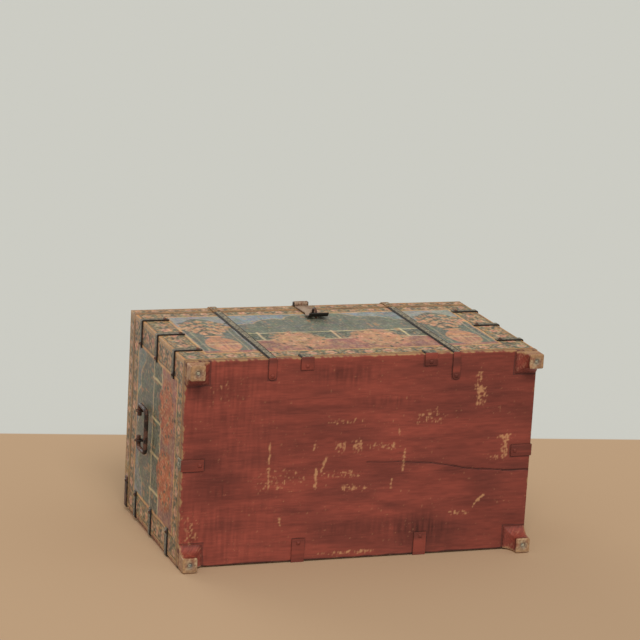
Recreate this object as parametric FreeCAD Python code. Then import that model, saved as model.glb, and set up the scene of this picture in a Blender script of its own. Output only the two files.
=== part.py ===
import FreeCAD, Part
import math
import os

from FreeCAD import Vector

# Driving sizes of the wooden chest, in millimetres
length = 560.0
depth = 318.0
foot_height = 26.0
bottom_thickness = 12.0
side_height = 280.0
board_thickness = 14.0
rabbet_lip = 7.0

# Lid: low rails, four curved slopes and a flat crown
lid_gap = 0.3
rail_height = 26.7
dome_rise = 76.0
dome_run = 118.0
slope_thickness = 12.0

# Corner feet, coved on their two inner sides
foot_width = 40.0
pad_width = 23.0
pad_height = 7.0
cove_depth = 4.5
pad_nail_sink = 1.0

# Iron work
strap_thickness = 2.0
dome_strap_seat = 0.1
front_strap_width = 12.0
front_strap_inset = 15.0
front_strap_stop = 6.0
front_strap_left_under = 32.0
front_strap_right_under = 41.0
front_strap_nail_count = 6
clip_width = 20.0
clip_left_share = -0.63
clip_right_share = 0.714
clip_rise = 17.0
clip_under = 18.0
end_clip_width = 18.0
end_clip_under = 33.0
corner_strap_width = 11.0
corner_strap_leg = 42.0
corner_strap_height_shares = (0.19, 0.53, 0.85)
rim_strap_leg = 48.0

# Hinges on the back
hinge_width = 20.0
hinge_knuckle_width = 7.0
hinge_under = 35.0
hinge_lid_reach = 62.0
pin_radius = 2.2
pin_head_side = 6.0
pin_head_width = 1.2
running_clearance = 0.05
body_clearance = 0.4

# Hasp and its staple
hasp_width = 22.0
hasp_end_width = 32.0
hasp_end_length = 26.0
hasp_length = 84.0
hasp_lip_radius = 8.0
hasp_lip_angle = 72.0
hasp_lift_angle = 2.5
hasp_knuckle_width = 9.0
hasp_axis_drop = 5.0
hasp_plate_reach = 34.0
hasp_slot_width = 7.0
hasp_slot_length = 27.0
staple_drop = 70.0
staple_radius = 2.0
staple_half_gap = 8.0
staple_stand = 13.5
staple_tail = 11.0
staple_hole_clearance = 0.2

# Bail handles and their eye staples
handle_height = 243.0
eye_place = 24.0
eye_wire_radius = 1.5
eye_clearance = 0.4
eye_stand = 8.0
eye_tail = 9.0
eye_near_share = 1.4
eye_far_share = 0.96
bail_radius = 3.5
bail_half_span = 34.5
bail_drop = 40.0
bail_stub_end = 16.0
bail_corner_radius = 8.0
bail_stub_radius = 5.0

# Hand-forged nails
nail_head = 6.4
nail_head_height = 2.0
nail_crown_share = 0.4
nail_shank = 2.4
nail_point_share = 0.5
nail_length = 11.0
nail_edge = 6.0
frame_nail_length = 30.0
frame_nail_sink = 0.6
slope_nail_sink = 3.0
foot_nail_head = 7.0

# Forged bars and hinge eyes are hammered in flats, and the bars' bends are laid out in flat steps
bar_sides = 8
eye_sides = 12
bend_step_degrees = 30.0

# How far a cutting shape runs past what it cuts
overrun = 5.0

# Levels and half sizes worked out from the driving sizes
half_length = length / 2
half_depth = depth / 2
bottom_low = foot_height
bottom_top = bottom_low + bottom_thickness
side_top = bottom_top + side_height
rail_low = side_top + lid_gap
rail_top = rail_low + rail_height
crown_top = rail_top + dome_rise
crown_half_length = half_length - dome_run
crown_half_depth = half_depth - dome_run
front_strap_place = crown_half_length - front_strap_inset
dome_sweep = 2 * math.atan2(dome_rise, dome_run)
dome_radius = dome_run / math.sin(dome_sweep)
dome_centre_height = crown_top - dome_radius
dome_strap_top = dome_strap_seat + strap_thickness
ring_radius = pin_radius + running_clearance + strap_thickness
hinge_axis_depth = half_depth + ring_radius + body_clearance
hinge_axis_height = side_top + lid_gap / 2
hasp_axis_depth = -half_depth - ring_radius - body_clearance
hasp_axis_height = rail_top - hasp_axis_drop
staple_height = hasp_axis_height - staple_drop
x_axis = Vector(1, 0, 0)
y_axis = Vector(0, 1, 0)
z_axis = Vector(0, 0, 1)


def block(low, high):
    """Box between two opposite corners."""
    size = high - low
    return Part.makeBox(size.x, size.y, size.z, low)


def prism(points, sweep):
    """Flat polygon pushed along a vector."""
    outline = Part.makePolygon(points + points[:1])
    return Part.Face(outline).extrude(sweep)


def line(start, end):
    return Part.LineSegment(start, end).toShape()


def arc(start, middle, end):
    return Part.Arc(start, middle, end).toShape()


def joined(shapes):
    """One clean solid from pieces that touch or overlap."""
    return shapes[0].fuse(shapes[1:]).removeSplitter()


def bent_path(points, bends):
    """Centre line with each inner corner bent to a radius in flat steps, or left sharp if its bend is 0."""
    path = [points[0]]
    for before, corner, after, bend in zip(points, points[1:], points[2:], bends):
        into = (corner - before).normalize()
        out = (after - corner).normalize()
        half_turn = into.getAngle(out) / 2
        centre = corner + (out - into).normalize() * (bend / math.cos(half_turn))
        spoke = corner - into * (bend * math.tan(half_turn)) - centre
        turn_degrees = math.degrees(2 * half_turn)
        steps = round(turn_degrees / bend_step_degrees) if bend else 0
        for step in range(steps + 1):
            turn = FreeCAD.Rotation(into.cross(out), turn_degrees * step / max(steps, 1))
            path.append(centre + turn.multVec(spoke))
    return path + [points[-1]]


def forged_bar(path, radius):
    """Bar with even flats along straight runs, mitred where two runs meet."""
    runs = [(end - start).normalize() for start, end in zip(path, path[1:])]
    reach = runs[0].cross(runs[1]).normalize() * (radius / math.cos(math.pi / bar_sides))
    turns = [FreeCAD.Rotation(runs[0], 360 * (side + 0.5) / bar_sides) for side in range(bar_sides)]
    rings = [[path[0] + turn.multVec(reach) for turn in turns]]
    for corner, into, out in zip(path[1:], runs, runs[1:] + runs[-1:]):
        mitre = into + out
        rings.append([point + into * ((corner - point).dot(mitre) / into.dot(mitre)) for point in rings[-1]])
    outlines = [rings[0], rings[-1]]
    for low, high in zip(rings, rings[1:]):
        for side in range(bar_sides):
            outlines.append([low[side - 1], low[side], high[side], high[side - 1]])
    shell = Part.makeShell([Part.Face(Part.makePolygon(points + points[:1])) for points in outlines])
    shell.sewShape()
    return Part.makeSolid(shell)


def knuckle(axis_point, first_x, last_x):
    """Rolled eye of a hinge leaf, along X, and its round running bore."""
    base = Vector(first_x, axis_point.y, axis_point.z)
    turns = [FreeCAD.Rotation(x_axis, 360 * side / eye_sides) for side in range(eye_sides)]
    outer = prism([base + turn.multVec(y_axis * ring_radius) for turn in turns], x_axis * (last_x - first_x))
    return outer, Part.makeCylinder(pin_radius + running_clearance, last_x - first_x, base, x_axis)


def hinge_pin(axis_point, centre_x, width):
    """Pin with a square forged head at each end."""
    half = width / 2 + body_clearance
    start = Vector(centre_x - half, axis_point.y, axis_point.z)
    parts = [Part.makeCylinder(pin_radius, 2 * half, start, x_axis)]
    corner = Vector(pin_head_width, pin_head_side, pin_head_side) / 2
    for end in (-1, 1):
        centre = Vector(centre_x + end * (half + pin_head_width / 2), axis_point.y, axis_point.z)
        parts.append(block(centre - corner, centre + corner))
    return joined(parts)


def taper(low, low_side, high, high_side):
    """Square bar along Y whose side changes evenly from one end to the other."""
    first = low_side / 2
    last = high_side / 2
    return Part.makeWedge(-first, low, -first, -last, -last, first, high, first, last, last)


def nail(seat, outward, head=nail_head, drive=nail_length):
    """Forged nail: square rose head on the seat point, tapered square shank below it."""
    rose = taper(0, head, nail_head_height, head * nail_crown_share)
    shape = rose.fuse(taper(-drive, nail_shank * nail_point_share, 0, nail_shank))
    shape.Placement = FreeCAD.Placement(seat, FreeCAD.Rotation(y_axis, outward))
    return shape


def frame_nail(seat, outward, sink=frame_nail_sink):
    """Headless nail sunk under the paint, which holds two boards together."""
    shape = taper(-sink - frame_nail_length, nail_shank * nail_point_share, -sink, nail_shank)
    shape.Placement = FreeCAD.Placement(seat, FreeCAD.Rotation(y_axis, outward))
    return shape


def angle_strap(corner, first, first_length, second, second_length, width):
    """Flat iron bent round a wooden edge: one leg along each of two directions, its bend in two flats."""
    across = first.cross(second).normalize()
    off_first = first * -strap_thickness
    off_second = second * -strap_thickness
    off_bend = (first + second).normalize() * -strap_thickness
    first_end = corner + first * first_length
    second_end = corner + second * second_length
    points = [corner, first_end, first_end + off_second, corner + off_second, corner + off_bend]
    points += [corner + off_first, second_end + off_first, second_end]
    return prism([point - across * (width / 2) for point in points], across * width)


def dome_point(side, turn, offset):
    """Point on the front (side -1) or back (side 1) slope, at an angle from the crown, off its face."""
    reach = dome_radius + offset
    out = crown_half_depth + reach * math.sin(turn)
    return Vector(0, side * out, dome_centre_height + reach * math.cos(turn))


def dome_strap(side, low, sweep, centre_x, width):
    """Iron that goes up a lid rail and then along the curved slope above it, through an angle."""
    turns = [dome_sweep, dome_sweep - sweep / 2, dome_sweep - sweep]
    inner = [dome_point(side, turn, dome_strap_seat) for turn in turns]
    outer = [dome_point(side, turn, dome_strap_top) for turn in reversed(turns)]
    kink = inner[0]
    foot = Vector(0, kink.y, low)
    outward = Vector(0, side * strap_thickness, 0)
    edges = [line(foot, kink), arc(*inner), line(inner[-1], outer[0]), arc(*outer)]
    edges.append(line(outer[-1], kink + outward))
    edges += [line(kink + outward, foot + outward), line(foot + outward, foot)]
    face = Part.Face(Part.Wire(edges))
    face.translate(x_axis * (centre_x - width / 2))
    return face.extrude(x_axis * width)


def dome_nail(side, turn, centre_x):
    """Nail driven square into a strap on the curved slope."""
    seat = dome_point(side, turn, dome_strap_top) + x_axis * centre_x
    return nail(seat, Vector(0, side * math.sin(turn), math.cos(turn)))


def dome_turn(reach):
    """Angle from the crown of a place that is so far up the slope from the rail."""
    return dome_sweep - reach / dome_radius


# Wooden boards of the box and the lid
def long_wall(side, low, high):
    """Front (side -1) or back (side 1) wall, rabbeted at both ends for the end walls."""
    outer = side * half_depth
    inner = side * (half_depth - board_thickness)
    low_corner = Vector(-half_length, min(outer, inner), low)
    wall = block(low_corner, Vector(half_length, max(outer, inner), high))
    lip = side * (half_depth - rabbet_lip)
    past = inner - side * overrun
    for end in (-1, 1):
        near = end * (half_length - board_thickness)
        far = end * (half_length + overrun)
        low_corner = Vector(min(near, far), min(lip, past), low - overrun)
        high_corner = Vector(max(near, far), max(lip, past), high + overrun)
        wall = wall.cut(block(low_corner, high_corner))
    return wall


def end_wall(end, low, high):
    """Left (end -1) or right (end 1) wall, seated in the rabbets of the long walls."""
    outer = end * half_length
    inner = end * (half_length - board_thickness)
    reach = half_depth - rabbet_lip
    return block(Vector(min(outer, inner), -reach, low), Vector(max(outer, inner), reach, high))


def bottom_board():
    low_corner = Vector(-half_length, -half_depth, bottom_low)
    return block(low_corner, Vector(half_length, half_depth, bottom_top))


def front_board():
    board = long_wall(-1, bottom_top, side_top)
    half_hole = staple_radius + staple_hole_clearance
    for side in (-1, 1):
        low = Vector(-half_hole, -board_thickness - overrun, -half_hole)
        hole = block(low, -low)
        hole.translate(Vector(0, -half_depth, staple_height + side * staple_half_gap))
        board = board.cut(hole)
    return board


def end_board(end):
    board = end_wall(end, bottom_top, side_top)
    half_high = 2 * eye_wire_radius + staple_hole_clearance
    half_wide = eye_wire_radius + staple_hole_clearance
    for side in (-1, 1):
        low = Vector(-board_thickness - overrun, -half_wide, -half_high)
        slot = block(low, -low)
        slot.translate(Vector(end * half_length, side * eye_place, handle_height))
        board = board.cut(slot)
    return board


def slope_section(half_crown, swap):
    """Curved section of a lid slope, in the YZ plane, or in XZ where swap is true."""
    inner_radius = dome_radius - slope_thickness
    inner_turn = math.acos((rail_top - dome_centre_height) / inner_radius)

    def place(radius, turn):
        across = -half_crown - radius * math.sin(turn)
        up = dome_centre_height + radius * math.cos(turn)
        return Vector(across, 0, up) if swap else Vector(0, across, up)

    outer = [place(dome_radius, turn) for turn in (dome_sweep, dome_sweep / 2, 0)]
    inner = [place(inner_radius, turn) for turn in (0, inner_turn / 2, inner_turn)]
    edges = [arc(*outer), line(outer[-1], inner[0]), arc(*inner), line(inner[-1], outer[0])]
    return Part.Face(Part.Wire(edges))


def long_slope(side):
    """Front or back slope of the dome, mitred at both ends."""
    face = slope_section(crown_half_depth, False)
    face.translate(Vector(-half_length, 0, 0))
    slope = face.extrude(x_axis * length)
    plan = [Vector(-half_length, -half_depth, rail_top), Vector(half_length, -half_depth, rail_top)]
    plan.append(Vector(crown_half_length, -crown_half_depth, rail_top))
    plan.append(Vector(-crown_half_length, -crown_half_depth, rail_top))
    slope = slope.common(prism(plan, z_axis * dome_rise))
    return slope if side < 0 else slope.mirror(Vector(0, 0, 0), y_axis)


def end_slope(end):
    """Left or right slope of the dome, mitred at both ends."""
    face = slope_section(crown_half_length, True)
    face.translate(Vector(0, -half_depth, 0))
    slope = face.extrude(y_axis * depth)
    plan = [Vector(-half_length, -half_depth, rail_top)]
    plan.append(Vector(-crown_half_length, -crown_half_depth, rail_top))
    plan.append(Vector(-crown_half_length, crown_half_depth, rail_top))
    plan.append(Vector(-half_length, half_depth, rail_top))
    slope = slope.common(prism(plan, z_axis * dome_rise))
    return slope if end < 0 else slope.mirror(Vector(0, 0, 0), x_axis)


def crown_board():
    low = Vector(-crown_half_length, -crown_half_depth, crown_top - slope_thickness)
    return block(low, Vector(crown_half_length, crown_half_depth, crown_top))


def foot(end, side):
    """Corner foot: a coved profile in X met by the same profile in Y, so the coves mitre."""
    corners = [Vector(0, 0, 0), Vector(pad_width, 0, 0), Vector(pad_width, 0, pad_height)]
    corners += [Vector(foot_width, 0, foot_height), Vector(0, 0, foot_height)]
    chord = corners[3] - corners[2]
    hollow = (corners[2] + corners[3]) / 2 + y_axis.cross(chord).normalize() * -cove_depth
    edges = [line(corners[0], corners[1]), line(corners[1], corners[2]), arc(corners[2], hollow, corners[3])]
    edges += [line(corners[3], corners[4]), line(corners[4], corners[0])]
    face = Part.Face(Part.Wire(edges))
    along_y = face.extrude(y_axis * foot_width)
    along_x = along_y.mirror(Vector(0, 0, 0), Vector(1, -1, 0))
    shape = along_y.common(along_x)
    pocket_low = Vector(pad_width - foot_nail_head, pad_width - foot_nail_head, -2 * overrun) / 2
    pocket_high = Vector(pad_width + foot_nail_head, pad_width + foot_nail_head, 0) / 2
    shape = shape.cut(block(pocket_low, pocket_high + z_axis * (pad_nail_sink + nail_head_height)))
    shape.translate(Vector(-half_length, -half_depth, 0))
    if end > 0:
        shape = shape.mirror(Vector(0, 0, 0), x_axis)
    if side > 0:
        shape = shape.mirror(Vector(0, 0, 0), y_axis)
    return shape


def foot_nails():
    place_x = half_length - pad_width / 2
    place_y = half_depth - pad_width / 2
    seat_height = pad_nail_sink + nail_head_height
    drive = foot_height + bottom_thickness - seat_height - nail_head_height
    nails = []
    for end in (-1, 1):
        for side in (-1, 1):
            seat = Vector(end * place_x, side * place_y, seat_height)
            nails.append(nail(seat, -z_axis, foot_nail_head, drive))
    return nails


# Iron straps and clips, each with the nails that hold it
def round_tongue(centre, width):
    """Rounded end of a strap that lies flat under the bottom."""
    return Part.makeCylinder(width / 2, strap_thickness, centre - z_axis * strap_thickness, z_axis)


def front_strap(place, under):
    """Long strap down the front, turned under the bottom."""
    corner = Vector(place, -half_depth, bottom_low)
    rise = side_top - front_strap_stop - bottom_low
    flat = under - front_strap_width / 2
    strap = angle_strap(corner, z_axis, rise, y_axis, flat, front_strap_width)
    strap = joined([strap, round_tongue(corner + y_axis * flat, front_strap_width)])
    under_seat = corner + y_axis * flat - z_axis * strap_thickness
    nails = [nail(under_seat, -z_axis, drive=bottom_thickness - nail_head_height)]
    lowest = bottom_top + nail_edge
    span = bottom_low + rise - nail_edge - lowest
    for step in range(front_strap_nail_count):
        height = lowest + span * step / (front_strap_nail_count - 1)
        nails.append(nail(Vector(place, -half_depth - strap_thickness, height), -y_axis))
    return strap.cut(nails), nails


def bottom_clip(corner, inward, width, rise, under):
    """Short clip round a bottom edge, with one nail in each leg."""
    strap = angle_strap(corner, z_axis, rise, inward, under, width)
    up_seat = corner + z_axis * (rise - nail_edge) - inward * strap_thickness
    under_seat = corner + inward * (under - nail_edge) - z_axis * strap_thickness
    nails = [nail(up_seat, -inward), nail(under_seat, -z_axis, drive=bottom_thickness - nail_head_height)]
    return strap.cut(nails), nails


def corner_straps(end, side):
    """Straps that wrap one upright corner, at three heights."""
    straps = []
    nails = []
    along_x = x_axis * -end
    along_y = y_axis * -side
    for share in corner_strap_height_shares:
        corner = Vector(end * half_length, side * half_depth, bottom_top + side_height * share)
        strap = angle_strap(corner, along_x, corner_strap_leg, along_y, corner_strap_leg, corner_strap_width)
        reach = corner_strap_leg - nail_edge
        pair = [nail(corner + along_x * reach - along_y * strap_thickness, -along_y)]
        pair.append(nail(corner + along_y * reach - along_x * strap_thickness, -along_x))
        straps.append(strap.cut(pair))
        nails += pair
    return straps, nails


def rim_corner_strap(end):
    """Strap round a back corner of the lid's rim."""
    along_x = x_axis * -end
    along_y = -y_axis
    corner = Vector(end * half_length, half_depth, (rail_low + rail_top) / 2)
    strap = angle_strap(corner, along_x, rim_strap_leg, along_y, rim_strap_leg, corner_strap_width)
    reach = rim_strap_leg - nail_edge
    nails = [nail(corner + along_x * reach - along_y * strap_thickness, -along_y)]
    nails.append(nail(corner + along_y * reach - along_x * strap_thickness, -along_x))
    return strap.cut(nails), nails


def lid_strap(place):
    """Strap over the whole dome, from the front rail to the back rail."""
    low = rail_low + lid_gap
    parts = [dome_strap(side, low, dome_sweep, place, front_strap_width) for side in (-1, 1)]
    half_wide = front_strap_width / 2
    crown_low = Vector(place - half_wide, -crown_half_depth, crown_top + dome_strap_seat)
    parts.append(block(crown_low, Vector(place + half_wide, crown_half_depth, crown_top + dome_strap_top)))
    nails = []
    slope_nail_shares = (0.2, 0.65)
    for side in (-1, 1):
        rail_seat = Vector(place, side * (half_depth + dome_strap_top), rail_low + rail_height / 2)
        nails.append(nail(rail_seat, y_axis * side))
        for share in slope_nail_shares:
            nails.append(dome_nail(side, dome_sweep * share, place))
    return joined(parts).cut(nails), nails


# Hinges
def hinge_parts(centre_x):
    """Box leaf, lid leaf, pin and nails of one hinge."""
    axis = Vector(centre_x, hinge_axis_depth, hinge_axis_height)
    first_x = centre_x - hinge_width / 2
    last_x = centre_x + hinge_width / 2
    middle_first = centre_x - hinge_knuckle_width / 2
    middle_last = centre_x + hinge_knuckle_width / 2
    gap = body_clearance
    notch_reach = ring_radius + gap
    leaf_corner = Vector(centre_x, half_depth, bottom_low)

    outer_eyes = [knuckle(axis, first_x, middle_first - gap), knuckle(axis, middle_last + gap, last_x)]
    rise = hinge_axis_height - bottom_low
    box_leaf = angle_strap(leaf_corner, z_axis, rise, -y_axis, hinge_under, hinge_width)
    notch_low = Vector(middle_first - gap, half_depth - overrun, hinge_axis_height - notch_reach)
    notch_high = Vector(middle_last + gap, hinge_axis_depth + notch_reach, hinge_axis_height + overrun)
    box_leaf = joined([box_leaf.cut(block(notch_low, notch_high))] + [eye[0] for eye in outer_eyes])
    box_leaf = box_leaf.cut([eye[1] for eye in outer_eyes])
    under_seat = leaf_corner - y_axis * (hinge_under - nail_edge) - z_axis * strap_thickness
    box_nails = [nail(under_seat, -z_axis, drive=bottom_thickness - nail_head_height)]
    leaf_nail_shares = (0.1, 0.35, 0.62, 0.9)
    for share in leaf_nail_shares:
        seat = Vector(centre_x, half_depth + strap_thickness, bottom_low + rise * share)
        box_nails.append(nail(seat, y_axis))

    middle_eye = knuckle(axis, middle_first, middle_last)
    lid_leaf = dome_strap(1, hinge_axis_height, hinge_lid_reach / dome_radius, centre_x, hinge_width)
    for start, end in ((first_x - overrun, middle_first), (middle_last, last_x + overrun)):
        notch_low = Vector(start, half_depth - overrun, hinge_axis_height - overrun)
        notch_high = Vector(end, hinge_axis_depth + notch_reach, hinge_axis_height + notch_reach)
        lid_leaf = lid_leaf.cut(block(notch_low, notch_high))
    lid_leaf = joined([lid_leaf, middle_eye[0]]).cut(middle_eye[1])
    lid_nail_shares = (0.3, 0.82)
    lid_nails = [dome_nail(1, dome_turn(hinge_lid_reach * share), centre_x) for share in lid_nail_shares]
    pin = hinge_pin(axis, centre_x, hinge_width)
    return box_leaf.cut(box_nails), box_nails, lid_leaf.cut(lid_nails), lid_nails, pin


# Hasp
def hasp_outline():
    """Front view of the hasp: a straight plate that flares to a wide end."""
    half_top = hasp_width / 2
    half_end = hasp_end_width / 2
    flare = hasp_axis_height - hasp_length + hasp_end_length
    wide = flare - hasp_end_length / 2
    low = hasp_axis_height - hasp_length - 2 * hasp_lip_radius
    high = hasp_axis_height + ring_radius
    front = hasp_axis_depth - hasp_lip_radius - hasp_end_width
    points = [(-half_top, high), (half_top, high), (half_top, flare), (half_end, wide), (half_end, low)]
    points += [(-half_end, low), (-half_end, wide), (-half_top, flare)]
    return prism([Vector(x, front, z) for x, z in points], y_axis * -front)


def hasp_body():
    """Hasp hanging closed: knuckle, plate and a lip curled outwards."""
    inner = -half_depth - body_clearance
    outer = inner - strap_thickness
    low = hasp_axis_height - hasp_length
    turn = math.radians(hasp_lip_angle)
    centre = Vector(-hasp_end_width / 2, outer - hasp_lip_radius, low)

    def lip(radius, angle):
        return centre + Vector(0, radius * math.cos(angle), -radius * math.sin(angle))

    wide = hasp_lip_radius + strap_thickness
    top_inner = Vector(centre.x, inner, hasp_axis_height)
    top_outer = Vector(centre.x, outer, hasp_axis_height)
    edges = [line(top_inner, lip(wide, 0)), arc(lip(wide, 0), lip(wide, turn / 2), lip(wide, turn))]
    edges.append(line(lip(wide, turn), lip(hasp_lip_radius, turn)))
    edges.append(arc(lip(hasp_lip_radius, turn), lip(hasp_lip_radius, turn / 2), lip(hasp_lip_radius, 0)))
    edges += [line(lip(hasp_lip_radius, 0), top_outer), line(top_outer, top_inner)]
    plate = Part.Face(Part.Wire(edges)).extrude(x_axis * hasp_end_width).common(hasp_outline())
    axis = Vector(0, hasp_axis_depth, hasp_axis_height)
    half_eye = hasp_knuckle_width / 2
    reach = ring_radius + body_clearance
    for end in (-1, 1):
        near = end * half_eye
        far = end * (hasp_width / 2 + overrun)
        low_corner = Vector(min(near, far), hasp_axis_depth - reach, hasp_axis_height - reach)
        plate = plate.cut(block(low_corner, Vector(max(near, far), half_depth, hasp_axis_height + reach)))
    eye, bore = knuckle(axis, -half_eye, half_eye)
    half_slot = hasp_slot_length / 2
    slot_low = Vector(-hasp_slot_width / 2, outer - overrun, staple_height - half_slot)
    slot = block(slot_low, Vector(hasp_slot_width / 2, inner + overrun, staple_height + half_slot))
    hasp = joined([plate, eye]).cut([bore, slot])
    hasp.rotate(axis, x_axis, -hasp_lift_angle)
    return hasp


def hasp_hinge_plate():
    """Leaf nailed to the lid above the hasp, with an eye on each side of the hasp's own."""
    axis = Vector(0, hasp_axis_depth, hasp_axis_height)
    half_eye = hasp_knuckle_width / 2 + body_clearance
    half_wide = hasp_width / 2
    reach = ring_radius + body_clearance
    leaf = dome_strap(-1, hasp_axis_height, hasp_plate_reach / dome_radius, 0, hasp_width)
    notch_low = Vector(-half_eye, hasp_axis_depth - reach, hasp_axis_height - overrun)
    leaf = leaf.cut(block(notch_low, Vector(half_eye, -half_depth + overrun, hasp_axis_height + reach)))
    eyes = [knuckle(axis, -half_wide, -half_eye), knuckle(axis, half_eye, half_wide)]
    leaf = joined([leaf] + [eye[0] for eye in eyes]).cut([eye[1] for eye in eyes])
    nail_reach = hasp_plate_reach - 2 * nail_edge
    nails = [dome_nail(-1, dome_turn(nail_reach), end * (half_wide - nail_edge)) for end in (-1, 1)]
    return leaf.cut(nails), nails, hinge_pin(axis, 0, hasp_width)


def hasp_staple():
    """Bent wire loop through the front board, its tails clinched inside."""
    inside = -half_depth + board_thickness + staple_radius + running_clearance
    crown = -half_depth - staple_stand
    upper = staple_height + staple_half_gap
    lower = staple_height - staple_half_gap
    points = [Vector(0, inside, upper + staple_tail), Vector(0, inside, upper), Vector(0, crown, upper)]
    points += [Vector(0, crown, lower), Vector(0, inside, lower), Vector(0, inside, lower - staple_tail)]
    crown_share = 0.9
    crown_bend = staple_half_gap * crown_share
    return forged_bar(bent_path(points, [0, crown_bend, crown_bend, 0]), staple_radius)


# Handles
def eye_staple(end, side):
    """Wire bent to an eye, with both legs through the end board and their tails spread inside."""
    place_y = side * eye_place
    ring = bail_radius + eye_clearance + eye_wire_radius
    centre = end * (half_length + eye_stand)
    inside = end * (half_length - board_thickness - eye_wire_radius - running_clearance)
    leg = eye_wire_radius + running_clearance
    half = [(inside, leg + eye_tail), (inside, leg), (centre - end * ring, leg)]
    half += [(centre - end * ring, ring), (centre + end * ring, ring)]
    upper = [Vector(x, place_y, handle_height + z) for x, z in half]
    lower = [Vector(x, place_y, handle_height - z) for x, z in reversed(half)]
    bends = [0, 0, eye_wire_radius * eye_near_share, ring * eye_far_share]
    return forged_bar(bent_path(upper + lower, bends + bends[::-1]), eye_wire_radius)


def bail(end):
    """Drop handle: a forged grip whose ends are turned in and run round through the two eyes."""
    plane = end * (half_length + eye_stand)
    low = handle_height - bail_drop
    shoulder = eye_place + 2 * eye_wire_radius
    half = [Vector(plane, -shoulder, handle_height), Vector(plane, -bail_half_span, handle_height)]
    half.append(Vector(plane, -bail_half_span, low))
    points = half + [Vector(plane, -point.y, point.z) for point in reversed(half)]
    bends = [bail_stub_radius, bail_corner_radius]
    parts = [forged_bar(bent_path(points, bends + bends[::-1]), bail_radius)]
    for side in (-1, 1):
        stub_end = Vector(plane, side * bail_stub_end, handle_height)
        parts.append(Part.makeCylinder(bail_radius, shoulder - bail_stub_end, stub_end, y_axis * side))
    return joined(parts)


# Hidden nails that hold the boards
def carcass_nails():
    nails = []
    edge = board_thickness / 2
    bottom_shares = (-0.72, -0.28, 0.1, 0.72)
    for share in bottom_shares:
        for side in (-1, 1):
            seat = Vector(half_length * share, side * (half_depth - edge), bottom_low)
            nails.append(frame_nail(seat, -z_axis))
    corner_shares = (0.08, 0.36, 0.68, 0.95)
    for end in (-1, 1):
        place_x = end * (half_length - edge)
        for side in (-1, 1):
            nails.append(frame_nail(Vector(place_x, side * half_depth / 2, bottom_low), -z_axis))
            for share in corner_shares:
                seat = Vector(place_x, side * half_depth, bottom_top + side_height * share)
                nails.append(frame_nail(seat, y_axis * side))
    return nails


def lid_frame_nails():
    nails = []
    edge = board_thickness / 2
    rise = dome_point(-1, math.asin((dome_run - edge) / dome_radius), 0).z
    slope_shares = (-0.75, -0.2, 0.08, 0.75)
    for share in slope_shares:
        for side in (-1, 1):
            seat = Vector(half_length * share, side * (half_depth - edge), rise)
            nails.append(frame_nail(seat, z_axis, slope_nail_sink))
    for end in (-1, 1):
        for side in (-1, 1):
            seat = Vector(end * (half_length - edge), side * half_depth / 2, rise)
            nails.append(frame_nail(seat, z_axis, slope_nail_sink))
    return nails


def build():
    """All pieces by name, in the frame of the wooden box."""
    pieces = {"bottom_board": bottom_board(), "front_board": front_board(),
              "back_board": long_wall(1, bottom_top, side_top)}
    ends = (("left", -1), ("right", 1))
    sides = (("front", -1), ("back", 1))
    pieces["foot_nails"] = foot_nails()
    pieces["carcass_nails"] = carcass_nails()
    pieces["lid_frame_nails"] = lid_frame_nails()
    pieces["lid_crown_board"] = crown_board()
    pieces["hasp_staple"] = hasp_staple()
    pieces["hasp_strap"] = hasp_body()
    pieces["hasp_hinge_plate"], pieces["hasp_plate_nails"], pieces["hasp_hinge_pin"] = hasp_hinge_plate()
    pieces["front_strap_nails"] = []
    pieces["lid_strap_nails"] = []
    pieces["clip_nails"] = []
    pieces["corner_strap_nails"] = []
    pieces["rim_strap_nails"] = []
    pieces["rim_corner_straps"] = []
    pieces["front_bottom_clips"] = []
    pieces["hinge_box_nails"] = []
    pieces["hinge_lid_nails"] = []
    pieces["hinge_pins"] = []
    for side_name, side in sides:
        pieces[f"lid_{side_name}_rail"] = long_wall(side, rail_low, rail_top)
        pieces[f"lid_{side_name}_slope"] = long_slope(side)
    for end_name, end in ends:
        pieces[f"{end_name}_end_board"] = end_board(end)
        pieces[f"lid_{end_name}_rail"] = end_wall(end, rail_low, rail_top)
        pieces[f"lid_{end_name}_slope"] = end_slope(end)
        pieces[f"{end_name}_handle_staples"] = [eye_staple(end, side) for side in (-1, 1)]
        pieces[f"{end_name}_handle_bail"] = bail(end)
        under = front_strap_left_under if end < 0 else front_strap_right_under
        pieces[f"front_strap_{end_name}"], nails = front_strap(end * front_strap_place, under)
        pieces["front_strap_nails"] += nails
        pieces[f"lid_strap_{end_name}"], nails = lid_strap(end * front_strap_place)
        pieces["lid_strap_nails"] += nails
        strap, nails = rim_corner_strap(end)
        pieces["rim_corner_straps"].append(strap)
        pieces["rim_strap_nails"] += nails
        corner = Vector(end * half_length, 0, bottom_low)
        clip, nails = bottom_clip(corner, x_axis * -end, end_clip_width, clip_rise, end_clip_under)
        pieces[f"{end_name}_end_clip"] = clip
        pieces["clip_nails"] += nails
        for side_name, side in sides:
            pieces[f"foot_{side_name}_{end_name}"] = foot(end, side)
            pieces[f"corner_straps_{side_name}_{end_name}"], nails = corner_straps(end, side)
            pieces["corner_strap_nails"] += nails
    for end_name, share in (("left", clip_left_share), ("right", clip_right_share)):
        place = front_strap_place * share
        corner = Vector(place, -half_depth, bottom_low)
        clip, nails = bottom_clip(corner, y_axis, clip_width, clip_rise, clip_under)
        pieces["front_bottom_clips"].append(clip)
        pieces["clip_nails"] += nails
        box_leaf, box_nails, lid_leaf, lid_nails, pin = hinge_parts(place)
        pieces[f"hinge_{end_name}_box_leaf"] = box_leaf
        pieces[f"hinge_{end_name}_lid_leaf"] = lid_leaf
        pieces["hinge_box_nails"] += box_nails
        pieces["hinge_lid_nails"] += lid_nails
        pieces["hinge_pins"].append(pin)
    return pieces


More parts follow.
